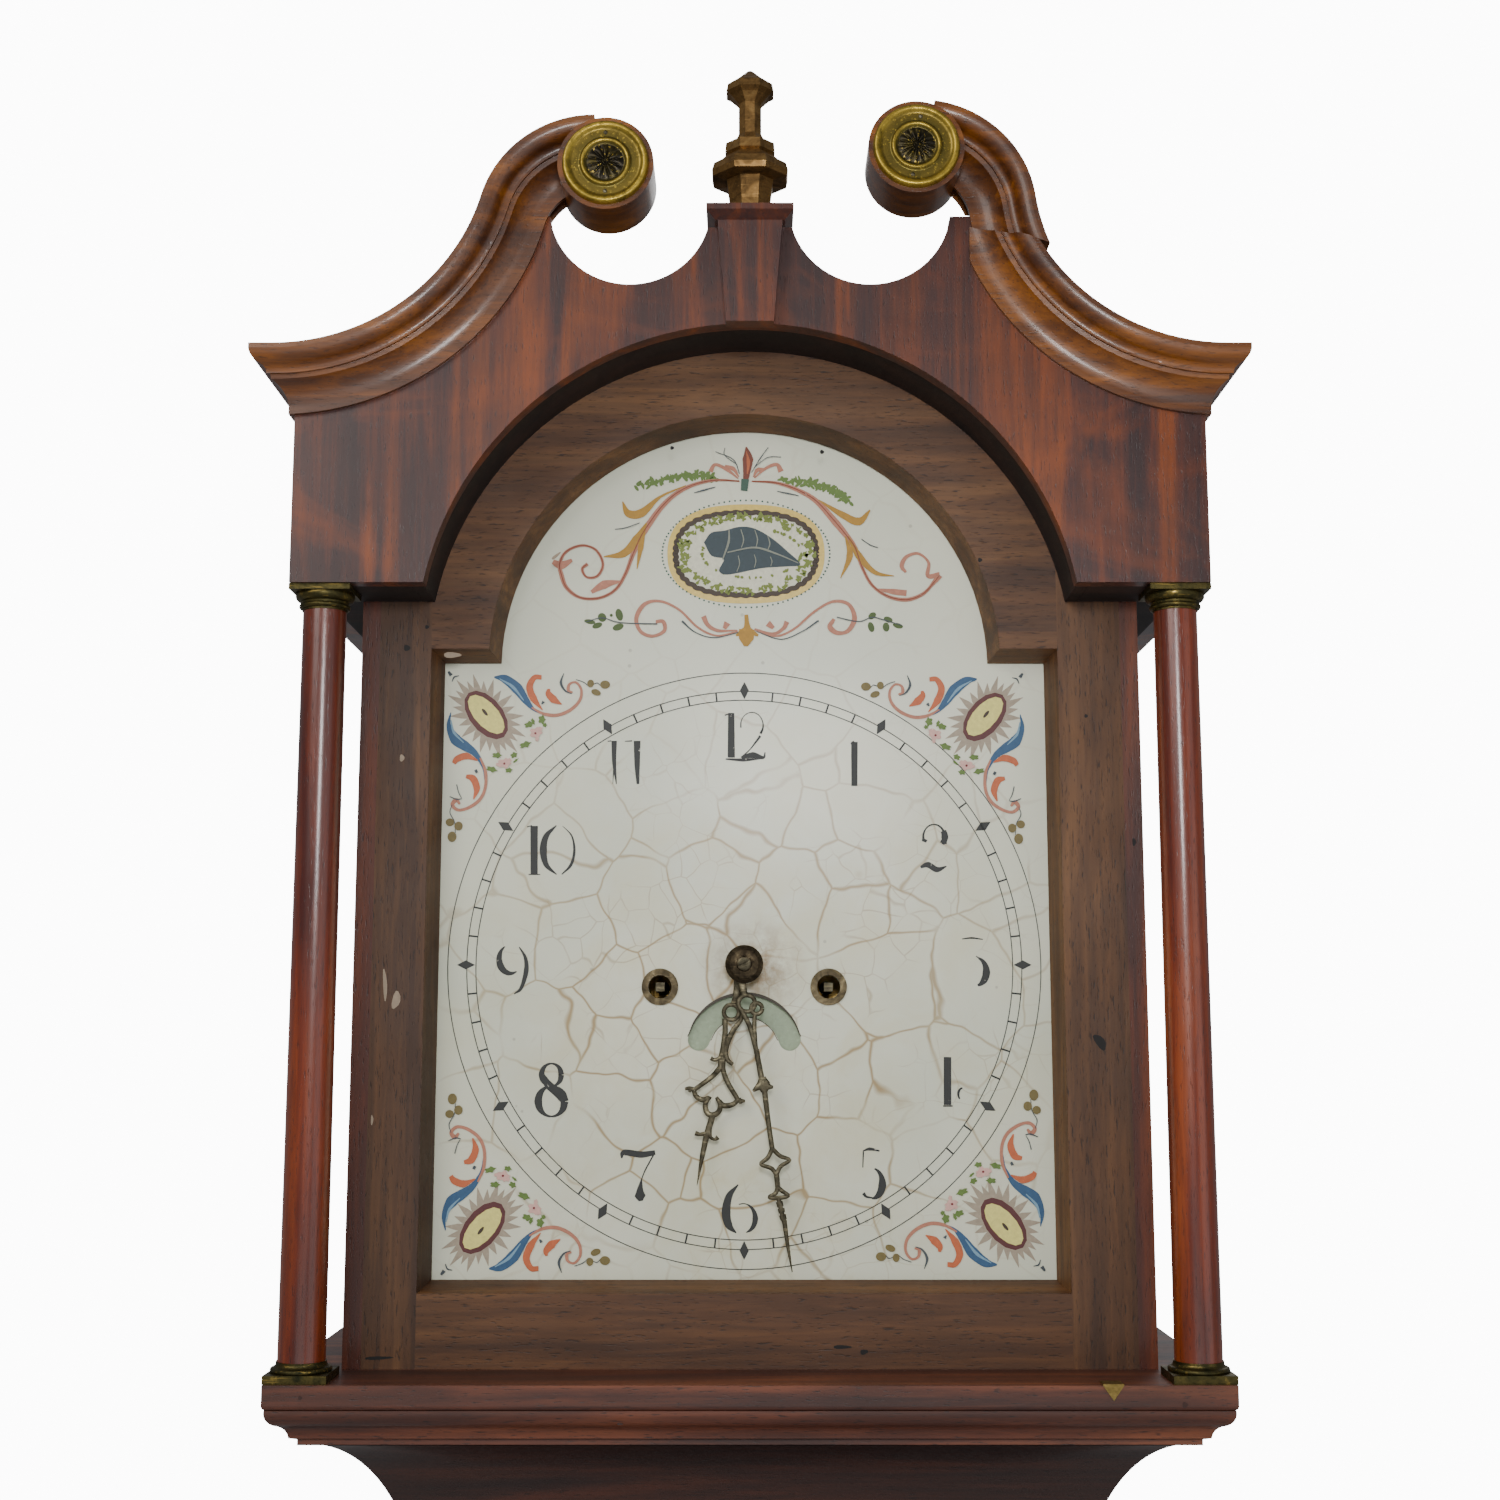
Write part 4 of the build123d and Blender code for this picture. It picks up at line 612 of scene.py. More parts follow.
NUMERALS = (
    ((720, 712, 767, 760), (
        ([(0.1, 0.93), (0.22, 0.97)], (0.03, 0.03)), ([(0.24, 0.98), (0.24, 0.05)], (0.13, 0.15)),
        ([(0.12, 0.02), (0.5, 0.0), (0.9, 0.03)], (0.03, 0.07, 0.02)),
        (bow(0.68, 0.72, 0.24, 0.27, 190, -40), (0.03, 0.015, 0.02, 0.02, 0.05)),
        ([(0.86, 0.5), (0.64, 0.22), (0.45, 0.05)], (0.05, 0.02, 0.03)),
        ([(0.46, 0.05), (0.7, 0.1), (0.92, 0.05), (0.96, 0.16)], (0.06, 0.13, 0.06, 0.02)))),
    ((850, 741, 858, 787), (
        ([(0.1, 0.93), (0.5, 0.99)], (0.03, 0.05)), ([(0.55, 0.98), (0.55, 0.02)], (0.14, 0.13)))),
    ((919, 824, 949, 871), (
        (bow(0.5, 0.72, 0.36, 0.27, 200, -30), (0.06, 0.03, 0.03, 0.05, 0.15)),
        (bow(0.5, 0.72, 0.36, 0.27, 30, -35), (0.12, 0.15, 0.06)), ([(0.16, 0.62), (0.2, 0.68)], (0.1, 0.12)),
        ([(0.05, 0.08), (0.3, 0.13), (0.6, 0.03), (0.92, 0.1)], (0.05, 0.13, 0.12, 0.02)))),
    ((962, 938, 990, 986), (
        ([(0.0, 0.98), (0.35, 1.0), (0.75, 0.97)], (0.02, 0.04, 0.02)),
        (bow(0.45, 0.3, 0.42, 0.3, 70, -75), (0.04, 0.1, 0.16, 0.14, 0.04)),
        ([(0.5, 0.62), (0.66, 0.56)], (0.02, 0.03)))),
    ((940, 1056, 970, 1107), (
        ([(0.25, 0.98), (0.25, 0.04)], (0.15, 0.15)), ([(0.1, 0.02), (0.42, 0.02)], (0.03, 0.03)),
        (bow(0.75, 0.25, 0.14, 0.12, 90, 230), (0.03, 0.05, 0.03)))),
    ((860, 1149, 888, 1198), (
        ([(0.1, 0.96), (0.35, 1.0), (0.7, 0.96)], (0.02, 0.07, 0.03)), ([(0.12, 0.95), (0.1, 0.62)], (0.03, 0.02)),
        (bow(0.42, 0.3, 0.38, 0.31, 75, -90), (0.03, 0.09, 0.17, 0.13, 0.03)),
        ([(0.12, 0.1), (0.22, 0.03), (0.45, 0.0)], (0.07, 0.05, 0.03)))),
    ((724, 1184, 758, 1233), (
        ([(0.42, 0.99), (0.15, 0.75), (0.06, 0.42), (0.14, 0.16), (0.36, 0.0)], (0.02, 0.14, 0.19, 0.16, 0.02)),
        (bow(0.56, 0.3, 0.36, 0.3, 110, -75), (0.02, 0.02, 0.07, 0.12, 0.09, 0.02)))),
    ((620, 1151, 656, 1202), (
        ([(0.04, 0.86), (0.12, 0.97), (0.6, 0.93), (0.98, 0.97)], (0.03, 0.12, 0.13, 0.09)),
        ([(0.94, 0.93), (0.7, 0.62), (0.58, 0.4)], (0.03, 0.025, 0.02)),
        ([(0.6, 0.45), (0.56, 0.25), (0.56, 0.12), (0.58, 0.02)], (0.02, 0.12, 0.22, 0.08)))),
    ((535, 1063, 568, 1117), (
        (bow(0.5, 0.78, 0.3, 0.21, 0, 360, 13), round_widths(0, 360, 0.03, 0.11, 13)),
        (bow(0.5, 0.29, 0.4, 0.28, 0, 360, 13), round_widths(0, 360, 0.03, 0.15, 13)),
        ([(0.2, 0.78), (0.4, 0.6), (0.66, 0.46), (0.88, 0.3)], (0.1, 0.15, 0.16, 0.13)))),
    ((497, 944, 528, 994), (
        (bow(0.45, 0.7, 0.38, 0.29, 120, 300), (0.02, 0.1, 0.14, 0.1, 0.02)),
        ([(0.72, 0.94), (0.92, 0.72), (0.94, 0.45), (0.78, 0.12), (0.55, 0.0)], (0.02, 0.07, 0.1, 0.07, 0.02)))),
    ((526, 825, 577, 875), (
        ([(0.02, 0.96), (0.12, 0.99)], (0.02, 0.02)), ([(0.16, 0.98), (0.16, 0.02)], (0.15, 0.14)),
        ([(0.05, 0.01), (0.28, 0.01)], (0.02, 0.02)),
        ([(0.6, 0.99), (0.4, 0.78), (0.34, 0.5), (0.4, 0.2), (0.6, 0.01)], (0.02, 0.11, 0.15, 0.1, 0.02)),
        ([(0.72, 0.98), (0.9, 0.78), (0.95, 0.48), (0.88, 0.2), (0.7, 0.01)], (0.01, 0.03, 0.05, 0.06, 0.02)))),
    ((607, 740, 643, 785), (
        ([(0.02, 0.97), (0.12, 0.98)], (0.02, 0.03)), ([(0.2, 0.98), (0.2, 0.5), (0.26, 0.02)], (0.12, 0.09, 0.02)),
        ([(0.2, 0.5), (0.16, 0.02)], (0.04, 0.01)), ([(0.84, 0.98), (0.84, 0.45), (0.86, 0.02)], (0.15, 0.12, 0.06)),
        ([(0.5, 0.97), (0.7, 0.98)], (0.02, 0.03)))),
)


def numeral_strokes():
    """Every stroke of the worn hour numerals, set into its box on the dial."""
    parts = []
    for (left, top, right, low), strokes in NUMERALS:
        corners = from_view([(left, low), (right, low), (left, top)], DIAL_Y)
        origin = corners[0]
        across = corners[1] - corners[0]
        upward = corners[2] - corners[0]
        tall = np.linalg.norm(upward)
        for points, widths in strokes:
            spots = np.asarray(points, float)
            line = origin + spots[:, :1] * across + spots[:, 1:] * upward
            parts.append(ribbon(line, np.asarray(widths) * tall))
    return parts


class CLOCK_OT_chapter_ring(bpy.types.Operator):
    """Paint the circles, the minute ticks, the diamonds and the hour numerals"""
    bl_idname = "clock.chapter_ring"
    bl_label = "Chapter ring"

    def execute(self, context):
        sizes = context.scene.clock_dial
        look = context.scene.clock_look
        rings = [band(sizes.border, sizes.line), band(sizes.minute_outer, sizes.line),
                 band(sizes.minute_inner, sizes.line)]
        middle = (sizes.minute_outer + sizes.minute_inner) / 2
        for minute in range(60):
            angle = radians(minute * 6)
            way = np.array((sin(angle), cos(angle)))
            centre = np.array((DIAL_X, DIAL_Z))
            if minute % 5:
                half = (sizes.minute_outer - sizes.minute_inner) / 2
                ends = [centre + way * (middle - half), centre + way * (middle + half)]
                rings.append(ribbon(ends, (0.0009, 0.0009), 2))
            else:
                ends = [centre + way * (sizes.minute_inner + 0.0006), centre + way * middle * 1.0205,
                        centre + way * (sizes.minute_outer + 0.005)]
                rings.append(ribbon(ends, (0.0002, 0.0048, 0.0002), 1))
        ink = srgb(34, 36, 34)
        date_z = DIAL_Z - DATE_DROP
        slot = [ribbon(bow(DIAL_X, date_z, 0.0308, 0.0308, 16, 164), (0.0004, 0.0014, 0.0016, 0.0014, 0.0004)),
                ribbon(bow(DIAL_X, date_z, 0.0187, 0.0187, 20, 160), (0.0003, 0.0006, 0.0003))]
        decal("date_slot_edge", slot, paint("slot_edge", srgb(52, 44, 26)), PAINT_LIFT)
        decal("chapter_circles", rings, paint("circle_ink", shade(ink, 1.3), look.dial_wear * 0.6), PAINT_LIFT)
        decal("hour_numerals", numeral_strokes(), paint("numeral_ink", ink, look.dial_wear), 0.00014)
        return {"FINISHED"}


# Ornament of the arch and the corners, on two sheets over the picture: left edge, top edge and step in pixels

ARCH_SHEET = (540.0, 430.0, 0.26786)
CORNER_SHEET = (430.0, 640.0, 0.13393)

ARCH_STROKES = {
    "coral": (
        ([(745, 192), (660, 188), (580, 203), (510, 237), (455, 287), (410, 347), (375, 402), (345, 470), (318, 540),
          (280, 598), (220, 628), (150, 626), (100, 590), (80, 540), (74, 500), (98, 455), (155, 432), (208, 448),
          (235, 500), (215, 545), (175, 550), (158, 520), (178, 500)],
         (6, 14, 20, 26, 16, 12, 12, 18, 12, 10, 12, 10, 14)),
        ([(790, 192), (880, 198), (960, 224), (1030, 265), (1090, 330), (1140, 390), (1176, 440), (1202, 512),
          (1240, 580), (1300, 622), (1370, 634), (1430, 612), (1470, 570), (1492, 542)],
         (6, 14, 20, 28, 18, 12, 12, 16, 12, 26)),
        ([(1492, 540), (1448, 545), (1450, 495), (1412, 462), (1368, 474), (1350, 508), (1366, 532)],
         (20, 16, 9, 12, 18, 10)),
        ([(48, 492), (80, 505), (120, 486)], (18, 34, 12)),
        ([(192, 606), (240, 578), (300, 566)], (14, 34, 8)),
        ([(1368, 610), (1320, 604), (1262, 596)], (24, 22, 8)),
        ([(738, 752), (660, 768), (590, 738), (520, 672), (450, 640), (392, 650), (360, 702), (375, 752), (420, 770),
          (464, 750), (460, 716), (432, 716)], (5, 8, 9, 10, 18, 14, 12, 16, 12)),
        ([(800, 745), (880, 770), (950, 742), (1020, 682), (1090, 642), (1150, 650), (1174, 702), (1150, 750),
          (1110, 758), (1082, 735), (1098, 706)], (5, 8, 9, 10, 14, 20, 14, 22, 12)),
        ([(738, 748), (668, 750), (628, 730), (610, 696)], (4, 12, 16, 20)),
        ([(802, 742), (868, 762), (908, 742), (922, 716)], (4, 12, 14, 20)),
        ([(700, 720), (688, 742)], (26, 14)), ([(850, 722), (872, 740)], (26, 14)),
        ([(740, 182), (700, 150), (655, 130), (636, 156)], (5, 14, 12, 18)),
        ([(742, 176), (722, 146), (690, 136)], (5, 16, 12)),
        ([(800, 180), (846, 142), (884, 130), (900, 156)], (5, 12, 14, 22)),
        ([(796, 176), (812, 150), (836, 148)], (5, 16, 12))),
    "gold": (
        ([(545, 208), (450, 250), (380, 310), (330, 312), (308, 268)], (4, 10, 34, 30, 4)),
        ([(398, 348), (362, 408), (312, 462), (238, 474)], (6, 34, 30, 4)),
        ([(392, 370), (376, 440), (362, 520)], (6, 22, 3)),
        ([(1040, 262), (1130, 318), (1190, 342), (1232, 300)], (4, 26, 32, 6)),
        ([(1150, 398), (1190, 470), (1250, 532), (1322, 546)], (6, 28, 18, 3)),
        ([(1140, 398), (1156, 470), (1122, 554)], (5, 26, 3)),
        ([(770, 690), (772, 720), (774, 745)], (14, 18, 30)),
        ([(732, 768), (772, 750), (815, 768)], (8, 34, 8)), ([(772, 745), (770, 780), (768, 808)], (60, 56, 14))),
    "maroon": (([(770, 64), (776, 110), (768, 188)], (5, 42, 20)),),
    "bud_light": (([(770, 80), (778, 120), (774, 165)], (2, 14, 4)),),
    "dark_green": (([(766, 184), (762, 228)], (30, 26)),),
    "sprig_ink": (
        ([(745, 165), (722, 112), (655, 82)], (3, 4, 3)), ([(735, 130), (690, 96), (690, 68)], (3, 3, 3)),
        ([(790, 160), (820, 110), (852, 66)], (3, 4, 3)), ([(800, 140), (850, 104), (900, 102)], (3, 3, 3)),
        ([(575, 236), (610, 226), (655, 214)], (3, 7, 3)), ([(885, 230), (925, 238), (965, 246)], (3, 6, 3)),
        ([(740, 757), (650, 776), (580, 756), (530, 714)], (3, 4, 4, 8)),
        ([(806, 752), (900, 782), (980, 752), (1040, 712)], (3, 4, 4, 7)),
        ([(280, 372), (320, 366), (372, 348)], (3, 4, 3)), ([(1200, 408), (1232, 430), (1262, 440)], (3, 4, 3)),
        ([(438, 725), (330, 722), (280, 716), (230, 702), (170, 718)], (5, 4, 4, 4, 3)),
        ([(1108, 700), (1190, 716), (1240, 700), (1290, 712), (1350, 730)], (5, 4, 4, 4, 3))),
    "shell_line": (
        ([(706, 374), (704, 420), (682, 484)], (5, 9, 5)),
        ([(700, 458), (800, 440), (880, 462), (965, 498)], (5, 8, 3)),
        ([(750, 372), (760, 410), (752, 440)], (3, 5, 3)), ([(802, 374), (812, 410), (806, 440)], (3, 5, 3)),
        ([(850, 396), (858, 425), (850, 450)], (3, 5, 3)), ([(740, 470), (745, 500), (735, 530)], (3, 4, 3)),
        ([(800, 466), (806, 490), (800, 515)], (3, 4, 3)), ([(860, 474), (866, 492), (862, 508)], (3, 4, 3))),
}
LEAF_SPOTS = ((296, 690, 14, 24, 15), (292, 736, 22, 13, 20), (232, 700, 16, 18, 30), (214, 730, 20, 11, 20),
              (186, 716, 22, 9, -10), (266, 692, 6, 6, 0), (1240, 694, 17, 12, 40), (1236, 736, 12, 20, 15),
              (1300, 708, 18, 11, -20), (1292, 736, 13, 18, 5), (1336, 731, 20, 10, -15))
SHELL_OUTLINE = ((612, 420), (640, 384), (690, 376), (745, 362), (800, 368), (862, 402), (922, 452), (972, 502),
                 (920, 510), (830, 516), (740, 534), (690, 540), (668, 524), (686, 482), (640, 470))

CORNER_STROKES = {
    "blue": (
        ([(480, 278), (560, 292), (650, 362), (715, 452), (778, 522), (850, 556)], (12, 66, 84, 54, 20, 6)),
        ([(156, 542), (142, 640), (190, 740), (262, 792), (340, 850), (398, 950), (412, 1060)],
         (6, 34, 84, 74, 44, 20, 8))),
    "blue_light": (
        ([(520, 290), (620, 352), (700, 452)], (6, 22, 6)), ([(158, 600), (180, 690), (252, 768)], (6, 20, 6))),
    "coral": (
        ([(760, 505), (850, 552), (950, 562), (1050, 522), (1118, 452), (1130, 372), (1090, 318), (1042, 332),
          (1034, 378), (1066, 392)], (12, 26, 26, 24, 20, 16, 26, 12)),
        ([(376, 880), (414, 980), (414, 1100), (372, 1192), (290, 1252), (212, 1270), (168, 1232), (196, 1196),
          (224, 1226)], (14, 24, 24, 26, 22, 26, 34, 16))),
    "orange": (
        ([(842, 525), (775, 440), (744, 352), (780, 282), (834, 280)], (6, 54, 52, 40, 34)),
        ([(985, 482), (925, 446), (886, 402), (888, 366)], (6, 60, 48, 18)),
        ([(356, 900), (274, 868), (206, 888), (178, 922)], (8, 52, 50, 30)),
        ([(326, 1190), (350, 1110), (322, 1036), (270, 1018)], (10, 50, 54, 26))),
    "sprig_ink": (
        ([(1090, 296), (1150, 318), (1190, 352)], (5, 7, 5)), ([(1210, 338), (1250, 322), (1280, 350)], (5, 7, 5)),
        ([(166, 1230), (150, 1290), (184, 1360), (190, 1440)], (5, 7, 7, 5)),
        ([(1000, 250), (978, 320), (1010, 380), (1060, 402)], (5, 20, 14, 5)),
        ([(148, 1170), (200, 1190), (240, 1186)], (6, 12, 5)), ([(200, 1080), (215, 1140), (236, 1180)], (8, 7, 5)),
        ([(138, 236), (160, 266)], (16, 28)), ([(166, 312), (182, 278), (218, 268)], (6, 12, 5)),
        ([(835, 480), (850, 460)], (10, 24)), ([(340, 970), (352, 992)], (22, 20))),
}
CORNER_DABS = {
    "berry": ((1200, 326, 26, 30, 0), (1308, 334, 38, 32, 0), (1240, 392, 38, 24, -20), (150, 1362, 32, 30, 0),
              (214, 1390, 32, 34, 0), (166, 1470, 34, 40, 0)),
    "leaf": ((740, 632, 34, 22, 20), (836, 596, 26, 32, 0), (712, 782, 42, 22, 20), (858, 636, 16, 16, 0),
             (500, 862, 34, 20, 0), (628, 860, 26, 20, 30), (462, 966, 40, 20, -15), (590, 974, 26, 18, 10),
             (770, 610, 12, 26, 20), (640, 902, 24, 8, 40)),
    "pink": ((790, 694, 44, 40, 0), (556, 922, 46, 36, 0), (820, 668, 22, 18, 30), (590, 900, 20, 16, 0),
             (800, 740, 14, 18, 0), (510, 930, 18, 14, 0)),
    "maroon_dot": ((788, 698, 9, 9, 0), (556, 924, 9, 9, 0)),
}
PAINTS = {
    "coral": srgb(178, 116, 92), "gold": srgb(170, 126, 34), "maroon": srgb(112, 52, 32),
    "orange": srgb(190, 96, 54), "bud_light": srgb(176, 92, 50), "dark_green": srgb(52, 84, 68),
    "sprig_ink": srgb(66, 74, 78), "shell_line": srgb(128, 132, 118), "blue": srgb(44, 84, 120),
    "blue_light": srgb(118, 154, 176), "berry": srgb(112, 98, 50), "leaf": srgb(92, 118, 48),
    "pink": srgb(212, 168, 156), "maroon_dot": srgb(110, 34, 38), "petal": srgb(160, 146, 126),
    "eye": srgb(222, 212, 122), "eye_ring": srgb(88, 40, 40), "cream": srgb(216, 214, 190),
    "gilt": srgb(214, 184, 84), "dark_band": srgb(62, 48, 34), "shell": srgb(46, 62, 68),
    "foliage": srgb(112, 126, 46),
}


def on_sheet(points, sheet):
    """Sheet points as X and Z on the dial."""
    left, top, step = sheet
    spots = np.asarray(points, float)
    return from_view(np.column_stack((left + spots[:, 0] * step, top + spots[:, 1] * step)), DIAL_Y)


def sheet_stroke(points, widths, sheet):
    """One brush stroke drawn on a sheet."""
    step = sheet[2] / FOCAL * (DIAL_Y - EYE[1])
    return ribbon(on_sheet(points, sheet), np.asarray(widths, float) * step)


def sheet_dab(spot, sheet, wave=0.0, waves=5):
    """One dab drawn on a sheet: place, half width, half height and lean."""
    x, y, wide, tall, lean = spot
    step = sheet[2] / FOCAL * (DIAL_Y - EYE[1])
    return blob(on_sheet([(x, y)], sheet)[0], wide * step, tall * step, lean, 14, wave, waves)


def oval(centre, wide, tall, width, sheet, sides=96, wave=0.0, waves=24):
    """A closed painted oval on a sheet, its line width given on the sheet."""
    angle = np.linspace(0, 2 * pi, sides + 1)
    swell = 1 + wave * np.cos(waves * angle)
    square = 1 - 0.035 * np.cos(4 * angle)
    spots = np.column_stack((centre[0] + wide * swell * square * np.cos(angle),
                             centre[1] - tall * swell * square * np.sin(angle)))
    return sheet_stroke(spots, (width, width), sheet)


class CLOCK_OT_arch_painting(bpy.types.Operator):
    """Paint the cartouche with its shell and the scrolls of the arch"""
    bl_idname = "clock.arch_painting"
    bl_label = "Arch painting"

    def execute(self, context):
        sheet = ARCH_SHEET
        middle = (769, 463)
        lift = PAINT_LIFT
        draw = np.random.default_rng(7)
        decal("cartouche_ground", [sheet_dab((*middle, 275, 165, 0), sheet)],
              paint("cartouche_cream", PAINTS["cream"]), lift)
        decal("cartouche_gilt", [oval(middle, 291, 179, 26, sheet)],
              paint("cartouche_gilt", PAINTS["gilt"], 0.02, 0.35), lift * 1.4)
        decal("cartouche_band", [oval(middle, 272, 160, 20, sheet, 240, 0.012, 44)],
              paint("cartouche_band", PAINTS["dark_band"]), lift * 2)
        dots = []
        foliage = []
        for index in range(96):
            angle = index * 2 * pi / 96
            dots.append(sheet_dab((middle[0] + 313 * cos(angle), middle[1] - 200 * sin(angle), 3.6, 3.6, 0), sheet))
        for index in range(190):
            angle = draw.uniform(0, 2 * pi)
            reach = draw.uniform(0.80, 0.95)
            spot = (middle[0] + 272 * reach * cos(angle), middle[1] - 160 * reach * sin(angle))
            foliage.append(sheet_dab((*spot, draw.uniform(5, 13), draw.uniform(4, 9), draw.uniform(0, 180)), sheet,
                                     0.3, 3))
        for index in range(70):
            angle = draw.uniform(0, 2 * pi)
            spot = (790 + 185 * cos(angle), 460 - 92 * sin(angle))
            foliage.append(sheet_dab((*spot, draw.uniform(4, 9), draw.uniform(3, 7), draw.uniform(0, 180)), sheet))
        decal("cartouche_dots", dots, paint("dot_ink", PAINTS["dark_green"]), lift * 1.5)
        decal("cartouche_foliage", foliage, paint("foliage_paint", PAINTS["foliage"], 0.08), lift * 2.4)
        outline = smooth(SHELL_OUTLINE + SHELL_OUTLINE[:1], 4)
        centre = np.array((770.0, 450.0))
        shell = on_sheet(np.vstack((centre, outline)), sheet)
        rim = np.arange(1, len(outline))
        faces = np.column_stack((np.zeros(len(rim), int), rim, rim + 1, rim + 1))
        decal("shell", [(shell, faces)], paint("shell_paint", PAINTS["shell"]), lift * 3)
        hedge = []
        for points in ([(372, 208), (480, 184), (590, 168), (655, 182)], [(905, 188), (1010, 200), (1090, 222),
                                                                        (1152, 264)]):
            for spot in smooth(points, 14):
                for lean in (35, 115):
                    place = spot + draw.uniform(-12, 12, 2)
                    hedge.append(sheet_dab((*place, draw.uniform(9, 17), draw.uniform(4, 7),
                                            lean + draw.uniform(-25, 25)), sheet))
        decal("arch_foliage", hedge, paint("arch_leaf_paint", PAINTS["leaf"], 0.06), lift * 2)
        leaves = [sheet_dab(spot, sheet) for spot in LEAF_SPOTS]
        decal("arch_leaves", leaves, paint("sprig_leaf_paint", shade(PAINTS["leaf"], 0.55)), lift * 2)
        for level, (name, strokes) in enumerate(ARCH_STROKES.items()):
            parts = [sheet_stroke(points, widths, sheet) for points, widths in strokes]
            decal("arch_" + name, parts, paint("arch_" + name, PAINTS[name], 0.03), lift * (3.5 + 0.4 * level))
        edge = [sheet_stroke(points, (3, 4, 3), sheet) for points, _ in ARCH_STROKES["coral"][:2]]
        decal("arch_outline", edge, paint("arch_outline", shade(PAINTS["maroon"], 1.4), 0.1), lift * 7)
        return {"FINISHED"}


class CLOCK_OT_corner_painting(bpy.types.Operator):
    """Paint the four corners with a leaning flower, leaves, scrolls and berries"""
    bl_idname = "clock.corner_painting"
    bl_label = "Corner painting"

    def execute(self, context):
        sheet = CORNER_SHEET
        home = from_view([(488, 712)], DIAL_Y)[0]
        places = ((488, 712, 1, 1), (983, 714, -1, 1), (484, 1231, 1, -1), (1002, 1227, -1, -1))
        petals = []
        for index in range(24):
            angle = index * 15.0
            turn = radians(-50)
            base = np.array((150 * cos(radians(angle)), 88 * sin(radians(angle))))
            tip = np.array((352 * cos(radians(angle)), 246 * sin(radians(angle))))
            if index % 2:
                tip *= 0.86
            spots = []
            for spot in (base, (base + tip) / 2, tip):
                spots.append((424 + spot[0] * cos(turn) + spot[1] * sin(turn),
                              568 - (spot[0] * sin(turn) - spot[1] * cos(turn))))
            petals.append(sheet_stroke(spots, (64, 46, 2), sheet))
        layers = [("petal", petals)]
        layers.append(("eye_ring", [sheet_dab((420, 560, 218, 126, -51), sheet)]))
        layers.append(("eye", [sheet_dab((420, 556, 186, 88, -48), sheet)]))
        layers.append(("dark_band", [sheet_dab((410, 540, 34, 12, -51), sheet)]))
        for name, strokes in CORNER_STROKES.items():
            layers.append((name, [sheet_stroke(points, widths, sheet) for points, widths in strokes]))
        for name, dabs in CORNER_DABS.items():
            wave = 0.25 if name in ("leaf", "pink") else 0.0
            layers.append((name, [sheet_dab(spot, sheet, wave) for spot in dabs]))
        for level, (name, parts) in enumerate(layers):
            every = []
            for u, v, side, upright in places:
                centre = from_view([(u, v)], DIAL_Y)[0]
                for corners, faces in parts:
                    every.append(((corners - home) * (side, upright) + centre, faces))
            wear = 0.06 if name in ("coral", "orange") else 0.02
            decal("corner_" + name, every, paint("corner_" + name, PAINTS[name], wear),
                  PAINT_LIFT * (1.2 + 0.4 * level))
        return {"FINISHED"}


# Small marks of age on the hood, with the dark of the holes as painted shade: place in the picture, half width, half
# height and lean

# Near-black dabs of painted shade, standing in for the dark insides of screw and nail holes and slits
HOLE_SHADE_SPOTS = ((407, 648, 3.2, 3.2, 0), (427, 627, 2.0, 2.0, 0), (1100, 1042, 4.5, 9.0, 35), (842, 1347, 9.0, 1.8, 0),
         (822, 452, 2.2, 2.2, 0), (672, 448, 2.0, 2.0, 0), (980, 560, 2.2, 2.2, 0), (378, 1358, 14.0, 1.6, 2),
         (1134, 842, 1.8, 4.0, 0), (1086, 716, 1.8, 1.8, 0), (864, 1352, 4.0, 2.4, 10))
CHIPS = ((452, 655, 9.0, 3.0, 0), (385, 985, 2.0, 16.0, 4), (396, 1000, 4.0, 9.0, -12), (402, 758, 2.4, 3.6, 0),
         (372, 1120, 1.2, 5.0, 0), (556, 556, 6.0, 1.6, 40))
LEDGE_SPOTS = ((1185, 1405, 2.8, 2.8, 0), (300, 1398, 2.0, 2.0, 0), (620, 1424, 3.0, 1.2, 0))


class CLOCK_OT_marks(bpy.types.Operator):
    """Paint the shade inside the nail holes and slits as near-black dabs, and put the pale chips and the plugged
    screw on the hood
    """
    bl_idname = "clock.marks"
    bl_label = "Marks of age"

    def execute(self, context):
        # The first group is painted shade: flat near-black dabs where the holes and slits are dark inside
        groups = (("nail_hole_shade", HOLE_SHADE_SPOTS, MASK_FACE_Y, srgb(14, 10, 8)),
                  ("pale_chips", CHIPS, MASK_FACE_Y, srgb(150, 132, 112)),
                  ("ledge_plugs", LEDGE_SPOTS, LEDGE_FACE_Y, srgb(52, 26, 18)))
        for name, spots, depth_y, colour in groups:
            step = (depth_y - EYE[1]) / FOCAL
            parts = [blob(from_view([(u, v)], depth_y)[0], wide * step, tall * step, lean, 12, 0.12, 3)
                     for u, v, wide, tall, lean in spots]
            flat, faces = joined(parts)
            corners = np.column_stack((flat[:, 0], np.full(len(flat), depth_y - 0.0001), flat[:, 1]))
            piece = make_mesh(name, corners, faces, paint(name, colour, 0.0, 0.7), False)
            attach(piece, "hood")
        return {"FINISHED"}


# Hands, drawn on a sheet over the picture

